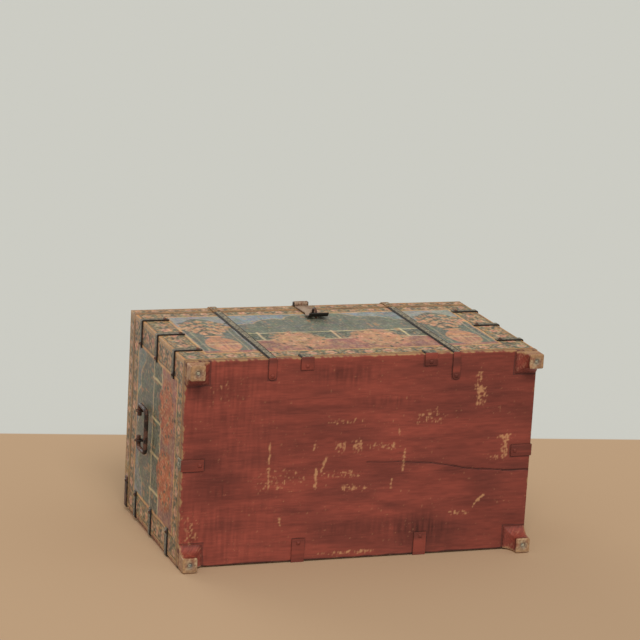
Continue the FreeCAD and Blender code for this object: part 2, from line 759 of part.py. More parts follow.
def main():
    """Writes every piece, with the origin under the middle of the whole part's box."""
    pieces = build()
    shapes = {}
    for name, piece in pieces.items():
        shapes[name] = Part.makeCompound(piece) if isinstance(piece, list) else piece
    front = min(shapes[name].optimalBoundingBox().YMin for name in ("hasp_strap", "hasp_staple"))
    back = max(shapes[name].optimalBoundingBox().YMax for name in ("hinge_pins", "hinge_left_box_leaf"))
    shift = Vector(0, -(front + back) / 2, 0)
    print("origin moved along Y by", round(shift.y, 4), "pieces", len(shapes))
    os.makedirs("parts", exist_ok=True)
    for name, shape in shapes.items():
        shape.translate(shift)
        shape.exportStep(f"parts/{name}.step")


main()
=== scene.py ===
import math

import bpy
import numpy as np
from bpy.props import FloatProperty, FloatVectorProperty, PointerProperty
from mathutils import Matrix, Vector


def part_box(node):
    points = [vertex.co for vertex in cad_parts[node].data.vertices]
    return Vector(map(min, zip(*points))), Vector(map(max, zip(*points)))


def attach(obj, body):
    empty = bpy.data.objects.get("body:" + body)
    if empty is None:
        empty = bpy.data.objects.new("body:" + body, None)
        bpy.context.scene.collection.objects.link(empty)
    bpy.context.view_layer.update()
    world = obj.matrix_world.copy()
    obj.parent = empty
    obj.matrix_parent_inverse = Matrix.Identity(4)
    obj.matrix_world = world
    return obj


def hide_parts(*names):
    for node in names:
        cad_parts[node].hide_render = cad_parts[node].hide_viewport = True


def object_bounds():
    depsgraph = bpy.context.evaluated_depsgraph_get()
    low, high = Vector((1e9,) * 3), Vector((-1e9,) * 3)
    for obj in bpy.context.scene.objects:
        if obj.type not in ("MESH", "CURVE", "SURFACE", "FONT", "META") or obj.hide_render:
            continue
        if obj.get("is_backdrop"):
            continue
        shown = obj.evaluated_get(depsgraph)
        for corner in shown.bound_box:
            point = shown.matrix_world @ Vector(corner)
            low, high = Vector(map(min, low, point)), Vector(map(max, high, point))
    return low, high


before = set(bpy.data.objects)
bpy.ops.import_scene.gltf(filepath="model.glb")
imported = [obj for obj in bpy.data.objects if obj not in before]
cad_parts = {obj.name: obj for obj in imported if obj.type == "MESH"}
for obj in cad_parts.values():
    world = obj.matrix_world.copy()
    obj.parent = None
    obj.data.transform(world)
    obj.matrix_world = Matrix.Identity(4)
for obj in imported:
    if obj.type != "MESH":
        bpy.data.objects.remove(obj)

bl_info = {
    "name": "Painted dome-top chest",
    "version": (1, 0, 0),
    "blender": (4, 5, 0),
    "location": "3D View > Sidebar > Chest",
    "description": "Painted boards, worn feet and forged iron for the packed chest, on a studio stage",
    "category": "Object",
}

MM = 0.001
X, Y, Z = Vector((1, 0, 0)), Vector((0, 1, 0)), Vector((0, 0, 1))
BOTH = (-1, 1)
ENDS = ("left", "right")
SIDES = ("front", "back")
WAYS = {"front": -Y, "back": Y, "left": -X, "right": X}
CAD_LOW, CAD_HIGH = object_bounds()


def node_box(node):
    """Lowest and highest corner of a CAD node, in millimetres."""
    low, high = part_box(node)
    return Vector(low) / MM, Vector(high) / MM


def node_span(node, axis):
    """Middle and half size of a CAD node along an axis, in millimetres."""
    low, high = (corner[axis] for corner in node_box(node))
    return (low + high) / 2, (high - low) / 2


# Places of the wooden frame and its irons, in millimetres
FRONT_LOW, FRONT_HIGH = node_box("front_board")
BACK_Y = node_box("back_board")[1].y
BOTTOM_LOW, BOTTOM_HIGH = node_box("bottom_board")
CROWN_LOW, CROWN_HIGH = node_box("lid_crown_board")
CROWN_HALF = (CROWN_HIGH.x, node_span("lid_crown_board", 1)[1])
HALF_LENGTH = BOTTOM_HIGH.x
MIDDLE_Y, HALF_DEPTH = node_span("bottom_board", 1)
END_HALF = node_span("left_end_board", 1)[1]
WALL_MIDDLE, WALL_HALF = node_span("front_board", 2)
RAIL_MIDDLE, RAIL_HALF = node_span("lid_front_rail", 2)
RAIL_TOP = RAIL_MIDDLE + RAIL_HALF
THICKNESS = FRONT_HIGH.y - FRONT_LOW.y
LIP = HALF_DEPTH - END_HALF
DOME_RUN = HALF_LENGTH - CROWN_HIGH.x
DOME_SWEEP = 2 * math.atan2(CROWN_HIGH.z - RAIL_TOP, DOME_RUN)
DOME_RADIUS = DOME_RUN / math.sin(DOME_SWEEP)
DOME_ARC = DOME_RADIUS * DOME_SWEEP
DOME_THICKNESS = CROWN_HIGH.z - CROWN_LOW.z
STRAP_PLACE, STRAP_HALF = node_span("front_strap_right", 0)
CLIP_HALF = node_span("hinge_left_box_leaf", 0)[1]
CLIP_PLACES = [node_span(f"hinge_{end}_box_leaf", 0)[0] for end in ENDS]
CORNER_WIDTH = 11
CORNER_SHARES = (0, 0.515, 1)
FOOT_TRIM = 2.5
NAIL_HALF = 3.5

# Meshes: angles of flat and sharp edges, the gap that merges points, and rubbing
FLAT, BOARD_SHARP, IRON_SHARP, IRON_SMOOTH = (math.radians(degrees) for degrees in (1, 35, 38, 50))
MERGE_GAP = 0.01 * MM
FOOT_RUBS = 40
UNDERSIDE_COARSER = 1.08

# Painting: dry sheen, widths in millimetres, and the seeds of random draws
DRY_SHEEN = 0.35
FRONT_BANDS, END_BANDS, END_NARROWER = (32, 25), (29, 28), 3
BORDER_PITCH, BORDER_REACH = 31, 9
SEAM_WIDTH, GRIME_AND_SHADE_WIDTH, CRACK_HALF = 3, 1.6, 0.8
FRONT_SEED, END_SEED, UNDERSIDE_SEED, BACK_SEED = 11, 20, 31, 51
DOME_SEED, CROWN_SEED, FOOT_SEED = 60, 71, 81
RAIL_SEEDS = (40, 42, 43, 45)
CLOUD_COLUMNS, CLOUD_ROWS = 61, 67

# Stage, in metres
FLOOR_SIZE = 24
FLOOR_GAP = 2 * MM
WALL_START, WALL_LEAN, WALL_BLUR = 0.716, -0.20, 0.006
WORLD_GREY = (0.56, 0.56, 0.56)
SUNS = (("key", (0.15, 0.85, 0.75), 1.9, 30), ("top", (0.35, 0.3, -1.0), 1.0, 40),
        ("back", (-0.5, -1.0, -0.5), 0.7, 40))
CAMERA_PLACE = Vector((-1.2851, -1.09155, -3.3634))
CAMERA_VIEW = Vector((0.3262, 0.23707, 0.91509)).normalized()
CAMERA_UP = Vector((0.02737, -0.97, 0.24154))
CAMERA_LENS = 140.6


def linear(*display):
    """Display colour in 0 to 255 as the linear colour that shaders use."""
    shares = [value / 255 for value in display]
    return [share / 12.92 if share < 0.04045 else ((share + 0.055) / 1.055) ** 2.4 for share in shares]


def tint(label, words, *display):
    """Colour property with a display colour as its default."""
    return FloatVectorProperty(name=label, description=words, subtype="COLOR", size=3, min=0, max=1,
                               default=linear(*display))


def length(label, words, millimetres):
    """Length property with a default in millimetres."""
    return FloatProperty(name=label, description=words, unit="LENGTH", precision=4, min=0,
                         default=millimetres * MM)


class ChestSizes(bpy.types.PropertyGroup):
    picture_step: length("Picture step", "Spacing of the mesh points that carry the painted pictures", 1.4)
    plain_step: length("Plain step", "Spacing of the mesh points on the plainer boards", 2.2)
    edge_ease: length("Edge ease", "How far the edges of the boards are rubbed round", 1.3)
    iron_ease: length("Iron ease", "How far the edges of the iron are rubbed round", 0.45)
    foot_grain: length("Foot grain", "Fineness of the worn surface of the feet", 0.9)
    crack_depth: length("Crack depth", "Depth of the crack in the bottom board", 1.3)
    border: length("Border", "Width of the painted borders", 42)


class ChestColours(bpy.types.PropertyGroup):
    red: tint("Red", "Red-brown paint of the underside and the back", 140, 62, 45)
    dark_red: tint("Dark red", "Grimy places in the red paint", 98, 45, 33)
    wood: tint("Bare wood", "Wood where the paint has rubbed off", 206, 148, 98)
    edge_wood: tint("Edge wood", "Rubbed wood along the edges", 166, 126, 80)
    inside: tint("Inside", "Plain wood inside the box and the lid", 118, 84, 56)
    olive: tint("Olive", "Ground of the floral borders", 110, 102, 84)
    leaf: tint("Leaf", "Dark leaves", 68, 74, 60)
    rose: tint("Rose", "Petals of the border flowers", 196, 142, 118)
    cream: tint("Cream", "Lines, blossoms and highlights", 204, 182, 144)
    ochre: tint("Ochre", "Lines of the borders", 178, 122, 64)
    teal: tint("Teal", "Ground of the niches", 98, 105, 98)
    lavender: tint("Lavender", "Corners above the niche arches", 140, 142, 142)
    sky: tint("Sky", "Sky of the garden pictures", 122, 134, 146)
    grove: tint("Grove", "Trees of the garden pictures", 104, 107, 98)
    terrace: tint("Terrace", "Terrace of the garden pictures", 144, 98, 90)
    salmon: tint("Salmon", "Flowering shrubs and vases of the front", 182, 133, 104)
    orange: tint("Orange", "Flowering shrubs of the ends", 172, 94, 54)
    iron: tint("Iron", "Forged iron", 40, 33, 29)
    rust: tint("Rust", "Rusty places on the iron", 98, 60, 41)
    plate: tint("Plate", "Rubbed plate of the hasp", 158, 134, 110)
    floor: tint("Floor", "Pale floor", 181, 152, 121)
    wall: tint("Wall", "Pale wall and background", 196, 196, 188)


def colour(paint):
    """Linear colour of a paint that is given by its name, or as a colour."""
    if isinstance(paint, str):
        paint = getattr(bpy.context.scene.chest_colours, paint)
    return np.array(paint)


def between(first, second):
    """Colour half way between two paints."""
    return (colour(first) + colour(second)) / 2


def size(name):
    """A length of the property group, in millimetres."""
    return getattr(bpy.context.scene.chest_sizes, name) / MM


# Shader expressions, and the sockets of a Mix node that carry colours
MIX_INPUTS, MIX_OUTPUT = (6, 7), 2


def operation(kind, swapped=False):
    """Method of a value that adds a Math node of a kind."""
    def method(self, other=0.0):
        first, second = (other, self) if swapped else (self, other)
        return self.nodes.node("ShaderNodeMath", {"operation": kind}, {0: first, 1: second})

    return method


class Value:
    """A shader socket that takes part in arithmetic by adding Math nodes."""

    def __init__(self, nodes, socket):
        self.nodes = nodes
        self.socket = socket

    __add__ = __radd__ = operation("ADD")
    __sub__ = operation("SUBTRACT")
    __rsub__ = operation("SUBTRACT", swapped=True)
    __mul__ = __rmul__ = operation("MULTIPLY")
    __abs__ = operation("ABSOLUTE")
    most = operation("MAXIMUM")
    sign = operation("SIGN")

    def rise(self, low, high):
        """0 below low, 1 above high, and smooth between them."""
        ends = {"Value": self, "From Min": low, "From Max": high}
        return self.nodes.node("ShaderNodeMapRange", {"interpolation_type": "SMOOTHSTEP"}, ends)


class Nodes:
    """A node tree and the nodes that expressions add to it."""

    def __init__(self, tree):
        self.tree = tree

    def node(self, kind, settings=None, inputs=None, output=0):
        made = self.tree.nodes.new(kind)
        for key, value in (settings or {}).items():
            setattr(made, key, value)
        for key, value in (inputs or {}).items():
            self.join(made.inputs[key], value)
        return Value(self, made.outputs[output])

    def join(self, socket, value):
        """Links a socket to an expression, or sets it to a number."""
        if isinstance(value, Value):
            self.tree.links.new(value.socket, socket)
        else:
            socket.default_value = value

    def mix(self, share, first, second, blend="MIX"):
        """Two colours mixed by a share."""
        parts = {0: share}
        for key, value in zip(MIX_INPUTS, (first, second)):
            parts[key] = value if isinstance(value, Value) else (*colour(value), 1.0)
        return self.node("ShaderNodeMix", {"data_type": "RGBA", "blend_type": blend}, parts, MIX_OUTPUT)


class Finish(Nodes):
    """A material and its shader."""

    def __init__(self, name):
        self.material = bpy.data.materials.new(name)
        self.material.use_nodes = True
        super().__init__(self.material.node_tree)
        self.shader = self.tree.nodes["Principled BSDF"]

    def feed(self, **values):
        """Joins sockets of the shader, whose names have an underscore for each space."""
        for key, value in values.items():
            self.join(self.shader.inputs[key.replace("_", " ")], value)

    def spot(self):
        """Object coordinates, in metres."""
        return self.node("ShaderNodeTexCoord", output="Object")

    def axis(self, index):
        return self.node("ShaderNodeSeparateXYZ", inputs={0: self.spot()}, output=index)

    def noise(self, scale, detail=3.0, stretch=(1, 1, 1), rough=0.55):
        """Noise that is squeezed along each axis by a stretch."""
        place = self.node("ShaderNodeMapping", inputs={"Vector": self.spot(), "Scale": stretch})
        inputs = {"Vector": place, "Scale": scale, "Detail": detail, "Roughness": rough}
        return self.node("ShaderNodeTexNoise", inputs=inputs)

    def relief(self, height, strength, depth):
        inputs = {"Height": height, "Strength": strength, "Distance": depth}
        self.feed(Normal=self.node("ShaderNodeBump", inputs=inputs))


def paint_finish(name, grain, chips, roughness):
    """Old paint: the painted picture, brush strokes along the grain, small chips, grime and a dry sheen."""
    finish = Finish(name)
    picture = finish.node("ShaderNodeAttribute", {"attribute_name": "paint"})
    strokes = finish.noise(60, 4, grain)
    fibre = finish.noise(420, 3, grain)
    grime = finish.noise(14, 5)
    flecks = finish.noise(330, 2)
    patches = finish.noise(26, 3)
    shade = strokes * 0.30 + fibre * 0.28 + grime * 0.24
    grey = finish.node("ShaderNodeCombineColor", inputs={key: shade + 0.59 for key in range(3)})
    toned = finish.mix(1.0, picture, grey, "MULTIPLY")
    bare = flecks.rise(0.66, 0.72) * patches.rise(0.5, 0.62) * chips
    finish.feed(Base_Color=finish.mix(bare, toned, "wood"), Roughness=roughness + grime * 0.2,
                Specular_IOR_Level=DRY_SHEEN)
    finish.relief(strokes * 0.5 + fibre * 0.4 + bare * -0.6, 0.35, 0.0009)
    return finish.material


def iron_finish(name, rust, sheen):
    """Forged iron with rusty blots and a dull sheen."""
    finish = Finish(name)
    blots = finish.noise(70, 5, rough=0.65)
    grain = finish.noise(520, 3)
    rusty = (blots + grain * 0.35).rise(0.62 - rust * 0.2, 0.86 - rust * 0.2)
    finish.feed(Base_Color=finish.mix(rusty, "iron", "rust"), Metallic=(1 - rusty) * sheen,
                Roughness=rusty * 0.25 + grain * 0.2 + 0.42)
    finish.relief(blots * 0.7 + grain * 0.5, 0.5, 0.0007)
    return finish.material


def strap_finish(name, painted, edge=None, flecked=0.3):
    """Strap painted over with its board: flecked paint, red under the bottom, and dark iron where edge gives
    1, partly painted shade on the long and corner straps.
    """
    finish = Finish(name)
    above = finish.axis(2).rise((BOTTOM_LOW.z - 1.2) * MM, (BOTTOM_LOW.z + 1) * MM)
    blots = finish.noise(120, 4)
    fine = finish.noise(620, 2)
    strokes = finish.noise(60, 4, (0.12, 1, 1))
    flecks = finish.noise(270, 2)
    over = finish.mix(flecks.rise(0.48, 0.6) * 0.5, painted, colour("iron") * 2)
    over = finish.mix(flecks.rise(0.48, 0.38) * flecked, over, "cream")
    red = finish.mix(strokes.rise(0.36, 0.66), "dark_red", colour("red") * 0.92)
    coat = finish.mix(above, red, over)
    if edge:
        # Dark where edge gives 1: bare iron, and on the long and corner straps also painted shade
        coat = finish.mix(edge(finish) * above, coat, colour("iron") * 0.7)
    finish.feed(Base_Color=coat, Roughness=fine * 0.2 + 0.55, Specular_IOR_Level=0.3)
    finish.relief(blots * 0.6 + fine * 0.4, 0.5, 0.0007)
    return finish.material


def plate_finish():
    """Rubbed brown plate of the hasp, which darkens towards its turned-out lip: dark iron and painted shade
    under the lip.
    """
    finish = Finish("hasp_iron")
    blots = finish.noise(90, 4)
    fine = finish.noise(600, 3)
    low = node_box("hasp_strap")[0].z
    # Towards the lip the colour darkens: dark iron and painted shade
    lip = finish.axis(2).rise((low + 6) * MM, (low + 20) * MM)
    bright = finish.mix((blots * 0.7 + fine * 0.3).rise(0.34, 0.56), colour("rust") * 1.4, "plate")
    finish.feed(Base_Color=finish.mix(lip, colour("iron") * 0.6, bright), Metallic=lip * 0.2,
                Roughness=fine * 0.25 + 0.5)
    finish.relief(blots * 0.6 + fine * 0.5, 0.5, 0.0006)
    return finish.material


def worn_finish():
    """Nail heads worn grey by the floor."""
    finish = Finish("worn_nail_iron")
    blots = finish.noise(300, 4)
    grey = finish.mix(blots.rise(0.35, 0.65), colour("teal") * 0.8, colour("cream") * 0.75)
    finish.feed(Base_Color=grey, Roughness=0.6)
    finish.relief(blots, 0.4, 0.0005)
    return finish.material


def strap_iron_edge_and_shade(finish):
    """Dark edges of the two long straps: bare iron on both, and painted shade on the left, which makes the
    left one broader than the right.
    """
    across = finish.axis(0)
    offset = across - across.sign() * (STRAP_PLACE * MM)
    # The broader band on the left is painted shade
    left = (offset * -1).rise((STRAP_HALF - 3) * MM, (STRAP_HALF - 1.6) * MM)
    return left + offset.rise((STRAP_HALF - 1.8) * MM, (STRAP_HALF - 0.8) * MM)


def clip_edge(finish):
    """Dark left edges of the two clips on the front."""
    gaps = [abs(finish.axis(0) - (place - CLIP_HALF) * MM) for place in CLIP_PLACES]
    return sum(1 - gap.rise(2 * MM, 3 * MM) for gap in gaps)


def corner_iron_edge_and_shade(finish):
    """Dark band along the lower edge of the corner straps: bare iron and painted shade."""
    low, high = node_box("corner_straps_front_left")
    span = high.z - CORNER_WIDTH - low.z
    gaps = [abs(finish.axis(2) - (low.z + share * span) * MM) for share in CORNER_SHARES]
    return sum(1 - gap.rise(1.6 * MM, 2.8 * MM) for gap in gaps)


# Painted pictures: u runs across a face and v up it, in millimetres
def cloud(u, v, cell, seed):
    """Smooth random values from 0 to 1 over a face, in blots about one cell wide."""
    table = np.random.default_rng(seed).random((CLOUD_COLUMNS, CLOUD_ROWS))
    column, row = np.floor(u / cell).astype(int), np.floor(v / cell).astype(int)
    s, t = u / cell - column, v / cell - row
    s, t = s * s * (3 - 2 * s), t * t * (3 - 2 * t)

    def corner(right, above):
        return table[(column + right) % CLOUD_COLUMNS, (row + above) % CLOUD_ROWS]

    low = corner(0, 0) * (1 - s) + corner(1, 0) * s
    high = corner(0, 1) * (1 - s) + corner(1, 1) * s
    return low * (1 - t) + high * t


def clamp(values):
    """Values cut off at 0 and 1."""
    return np.clip(values, 0, 1)


def wobbled(u, v, seed, reach=1.1):
    """Face coordinates pushed about by up to a reach, as by an unsteady hand."""
    return [way + reach * (2 * cloud(u, v, 19, seed + step) - 1) for step, way in ((1, u), (2, v))]


def line_gap(u, v, start, end):
    """Distance from each point to the line between two places."""
    run = np.array(end, float) - start
    share = clamp(((u - start[0]) * run[0] + (v - start[1]) * run[1]) / (run @ run))
    return np.hypot(u - start[0] - share * run[0], v - start[1] - share * run[1])


def panel_gap(u, v, low, high):
    """Signed distance to a rectangle, below 0 inside it."""
    across = np.abs(u - (low[0] + high[0]) / 2) - (high[0] - low[0]) / 2
    up = np.abs(v - (low[1] + high[1]) / 2) - (high[1] - low[1]) / 2
    return np.maximum(across, up)


def around(at, lean, across, up=None):
    """Place in a direction from another, on a circle or an oval round it."""
    return at[0] + across * math.cos(lean), at[1] + (across if up is None else up) * math.sin(lean)


class Picture:
    """Colours of a painted face at its mesh points."""

    def __init__(self, u, v, ground, seed):
        self.plain_u, self.plain_v, self.seed = u, v, seed
        self.u, self.v = wobbled(u, v, seed)
        self.hand = np.random.default_rng(seed)
        self.colours = np.tile(colour(ground), (len(u), 1))
        self.order = np.argsort(self.u)
        self.sorted_u = self.u[self.order]

    def wash(self, share, paint, points=slice(None)):
        """Thin paint that covers a share of each point."""
        self.colours[points] += share[:, None] * (colour(paint) - self.colours[points])

    def lay(self, gap, paint, strength=1.0, soft=0.8, points=slice(None)):
        """Lays paint where a signed distance is below 0."""
        self.wash(clamp(0.5 - gap / (2 * soft)) * strength, paint, points)

    def panel_gap(self, low, high):
        return panel_gap(self.u, self.v, low, high)

    def near(self, at, reach):
        """Points within a reach of a place, as measured across the face."""
        first, last = np.searchsorted(self.sorted_u, (at[0] - reach, at[0] + reach))
        column = self.order[first:last]
        return column[np.abs(self.v[column] - at[1]) < reach]

    def oval(self, at, half, paint, turn=0.0, strength=1.0):
        points = self.near(at, max(half) + 1)
        du, dv = self.u[points] - at[0], self.v[points] - at[1]
        along = du * math.cos(turn) + dv * math.sin(turn)
        across = dv * math.cos(turn) - du * math.sin(turn)
        gap = (np.hypot(along / half[0], across / half[1]) - 1) * min(half)
        self.lay(gap, paint, strength, points=points)

    def dab(self, unit, at, wide, tall, paint, turn, strength):
        """Oval whose half sizes are shares of a unit."""
        self.oval(at, (wide * unit, tall * unit), paint, turn, strength)

    def panel(self, low, high, paint):
        self.lay(self.panel_gap(low, high), paint)

    def frame(self, low, high, width, paint, strength, inset=0.0):
        """Line of a width round a rectangle, or at an inset within it."""
        self.lay(np.abs(self.panel_gap(low, high) + inset) - width / 2, paint, strength)

    def stroke(self, start, end, width, paint, strength=1.0, ragged=0.0):
        """Line between two places, with ragged sides if wanted."""
        gap = line_gap(self.u, self.v, start, end)
        if ragged:
            gap = gap + ragged * (cloud(self.plain_u, self.plain_v, 2.6, self.seed + 12) - 0.5)
        self.lay(gap - width / 2, paint, strength)

    def speckle(self, region, *layers):
        """Flecks where a signed distance is below 0, by layers of cell width, share, paint and strength."""
        for cell, share, paint, strength in layers:
            flecks = 1 - share - cloud(self.u, self.v, cell, int(self.hand.integers(1000)))
            self.lay(np.maximum(region, flecks * 4 * cell), paint, strength)

    def blossom(self, at, reach, turn, bloom="rose"):
        """Flower: two leaves, five petals with pale strokes and a dark heart."""
        for side in BOTH:
            lean = turn + side * 1.15
            self.dab(reach, around(at, lean, 1.25 * reach), 0.75, 0.34, "leaf", lean + 0.5 * side, 0.9)
        petal = colour(bloom) * self.hand.uniform(0.8, 1.1)
        for step in range(5):
            lean = turn + math.tau * step / 5
            tone = petal * self.hand.uniform(0.8, 1.1)
            self.dab(reach, around(at, lean, 0.58 * reach), 0.5, 0.4, tone, lean, 0.85)
            self.dab(reach, around(at, lean, 0.8 * reach), 0.24, 0.14, "cream", lean + 1.2, 0.6)
        self.dab(reach, at, 0.3, 0.3, colour("red") * 1.2, 0, 0.8)
        self.dab(reach, at, 0.14, 0.14, "cream", 0, 0.8)

    def floral_row(self, start, end, pitch, reach):
        """Row of blossoms with small buds between them."""
        run = np.array(end, float) - start
        count = max(1, round(math.hypot(*run) / pitch))
        heading = math.atan2(run[1], run[0])
        side = np.array([-math.sin(heading), math.cos(heading)]) * reach
        for step in range(count):
            at = start + run * (step + 0.5) / count
            self.blossom(at, reach * self.hand.uniform(0.85, 1.1), heading + math.pi / 2 * (-1) ** step)
            bud = at + run * 0.5 / count
            self.stroke(at, at + run / count, 1.5, "leaf", 0.8)
            for way in BOTH:
                self.dab(reach, bud + 0.5 * way * side, 0.62, 0.2, "leaf", heading + 0.7 * way, 0.85)
                self.dab(reach, bud + 0.95 * way * side, 0.3, 0.18, "ochre", heading - way, 0.8)
            self.dab(reach, bud, 0.34, 0.26, colour("rose") * 0.8, heading + 0.6, 0.8)
            self.dab(reach, bud, 0.16, 0.12, "cream", heading, 0.7)

    def border(self, low, high, inner_low, inner_high):
        """Floral border between two rectangles, with ochre and cream lines along it."""
        ring = np.maximum(self.panel_gap(low, high), -self.panel_gap(inner_low, inner_high))
        self.lay(ring, "olive")
        self.speckle(ring, (3.4, 0.42, "leaf", 0.6), (4.2, 0.36, "ochre", 0.6), (2.6, 0.3, "cream", 0.45))
        bands = ((low, inner_low), (high, inner_high))
        for outer, inner in bands:
            level = (outer[1] + inner[1]) / 2
            self.border_row((low[0], level), (high[0], level), outer[1] - inner[1])
        for outer, inner in bands:
            place = (outer[0] + inner[0]) / 2
            self.border_row((place, inner_low[1]), (place, inner_high[1]), outer[0] - inner[0])
        self.frame(low, high, 3.8, "ochre", 0.85, 1.6)
        self.frame(low, high, 1.4, colour("leaf") * 0.6, 0.85, 4.6)
        self.frame(inner_low, inner_high, 4.6, colour("ochre") * 1.15, 0.85)
        self.frame(inner_low, inner_high, 1.5, "cream", 0.7)
        self.frame(inner_low, inner_high, 1.4, colour("leaf") * 0.7, 0.8, -3.2)

    def border_row(self, start, end, width):
        self.floral_row(start, end, BORDER_PITCH, min(0.27 * abs(width), BORDER_REACH))

    def foliage(self, at, half, count, paints, blot):
        """Heap of small blots that fills an oval."""
        for _ in range(count):
            lean, reach = self.hand.uniform(0, math.tau), math.sqrt(self.hand.uniform(0, 1))
            spot = around(at, lean, half[0] * reach, half[1] * reach)
            paint = colour(paints[self.hand.integers(len(paints))]) * self.hand.uniform(0.85, 1.1)
            grain = blot * self.hand.uniform(0.6, 1.2)
            self.oval(spot, (grain, grain * 0.7), paint, self.hand.uniform(0, math.pi), 0.6)

    def shrub(self, at, half, tall, bloom):
        """Rounded shrub: a short stem, a mound of leaves and rings of blossoms over it."""
        self.stroke(at, (at[0], at[1] + tall * 0.3), 5, colour("leaf") * 0.7)
        crown, rise = (at[0], at[1] + tall * 0.54), tall * 0.46
        self.oval(crown, (half * 0.84, rise * 0.86), bloom * 0.85)
        self.foliage(crown, (half, rise), 150, [bloom * tone for tone in (1, 0.85, 1.12, 0.95)], half * 0.15)
        for ring, count in ((0.7, 6), (0.25, 2)):
            for step in range(count):
                lean = math.tau * (step + ring) / count
                self.blossom(around(crown, lean, ring * half, ring * rise), half * 0.16, lean, bloom * 1.15)

    def vase(self, at, half, tall):
        """Footed vase with a spray of flowers."""
        clay = colour("salmon") * 0.95
        belly = tall * 0.23

        def spot(across, up):
            return at[0] + across * half, at[1] + up * belly

        lip = np.array(spot(0, 2.2))
        for step in range(7):
            lean = (step - 3) * 0.2
            tip = lip + tall * (0.5 - 0.016 * (step - 3) ** 2) * np.array((math.sin(lean), math.cos(lean)))
            self.stroke(lip, tip, 1.8, "leaf")
            for share in (0.3, 0.55, 0.78, 1.0):
                bloom = colour("salmon") * (1.2 if (step + round(share * 4)) % 3 else 0.9)
                self.blossom(lip + share * (tip - lip), half * 0.17, lean + step, bloom)
        self.oval((at[0], at[1] + 2), (half * 0.34, 4), clay * 0.75)
        self.oval(spot(0, 1), (half * 0.62, belly), clay)
        for step in (-2, -1, 0, 1, 2):
            flute = (half * 0.055, belly * (0.62 - 0.06 * step * step))
            self.oval(spot(step * 0.2, 0.85), flute, "terrace", 0.0, 0.75)
        self.oval(spot(-0.2, 1.1), (half * 0.12, belly * 0.6), clay * 1.35, 0.0, 0.7)
        self.panel(spot(-0.2, 1.6), spot(0.2, 2.2), clay * 0.9)
        self.oval(lip, (half * 0.36, 3.5), clay * 1.2)
        for level, paint in ((1.0, "cream"), (1.25, "leaf"), (1.5, "ochre")):
            reach = 0.6 - 0.36 * (level - 1)
            self.stroke(spot(-reach, level), spot(reach, level), 3, paint, 0.7)

    def balustrade(self, left, right, low, high, posts):
        """Garden fence: two pale rails and posts, with a lattice between them."""
        inside = self.panel_gap((left, low), (right, high))
        self.lay(inside, "leaf")
        self.speckle(inside, (6, 0.45, "grove", 0.7))
        pitch = 8
        slats = [np.abs(way % pitch - pitch / 2) / math.sqrt(2) for way in (self.u + self.v, self.u - self.v)]
        self.lay(np.maximum(inside, np.minimum(*slats) - 0.6), colour("grove") * 1.4, 0.6)
        for level in (low, high):
            self.stroke((left, level), (right, level), 3.4, "cream", 0.8)
        for post in posts:
            self.stroke((post, low), (post, high + 6), 4, "cream", 0.85)

    def garden(self, low, high, fence, posts, shrubs, half, tall, bloom, sky):
        """Garden: sky and grove above, a fence, and shrubs on a terrace."""
        left, right = low[0], high[0]
        whole = self.panel_gap(low, high)
        self.lay(whole, sky)
        self.speckle(whole, (9, 0.45, "lavender", 0.6))
        spread, middle = (right - left) / 2, (left + right) / 2
        crown = high[1] - fence[1]
        lobes = ((-0.8, 0.5), (-0.5, 0.72), (-0.15, 0.9), (0.25, 0.94), (0.58, 0.74), (0.86, 0.5))
        for grow, paint in ((2.4, colour("cream") * 0.7), (0, "grove")):
            for share, lift in lobes:
                spot = (middle + spread * share, fence[1] + crown * lift * 0.4)
                self.oval(spot, (spread * 0.29 + grow, crown * lift * 0.62 + grow), paint)
        grove = np.maximum(whole, fence[1] - self.v)
        self.speckle(grove, (11, 0.4, "teal", 0.4), (4, 0.25, "leaf", 0.25))
        self.balustrade(left, right, *fence, posts)
        ground = np.maximum(whole, self.v - fence[0] + 2)
        self.lay(ground, "terrace")
        self.speckle(ground, (12, 0.45, colour("terrace") * 0.75, 0.6), (7, 0.4, colour("salmon") * 0.8, 0.5))
        for shrub in shrubs:
            self.shrub((shrub, low[1] + 4), half, tall, colour(bloom))

    def niche(self, low, high):
        """Arched niche with a vase of flowers in it."""
        middle, half = (low[0] + high[0]) / 2, (high[0] - low[0]) / 2
        whole = self.panel_gap(low, high)
        self.lay(whole, "lavender")
        spring = low[1] + (high[1] - low[1]) * 0.62
        arcs = [np.hypot(self.u - middle - side * half * 0.44, (self.v - spring) * 0.78) for side in BOTH]
        lancet = np.maximum(*arcs) - half * 1.32
        arch = np.maximum(whole, np.where(self.v > spring, lancet, np.abs(self.u - middle) - half * 0.88))
        self.lay(arch, "teal")
        self.speckle(arch, (7, 0.4, colour("grove") * 0.8, 0.5))
        self.lay(np.abs(arch) - 2, "leaf", 0.6)
        self.lay(np.abs(arch + 7) - 1.1, "cream", 0.35)
        self.lay(np.maximum(whole, self.v - low[1] - 14), "terrace")
        self.vase((middle, low[1] + 8), half, high[1] - low[1] - 44)

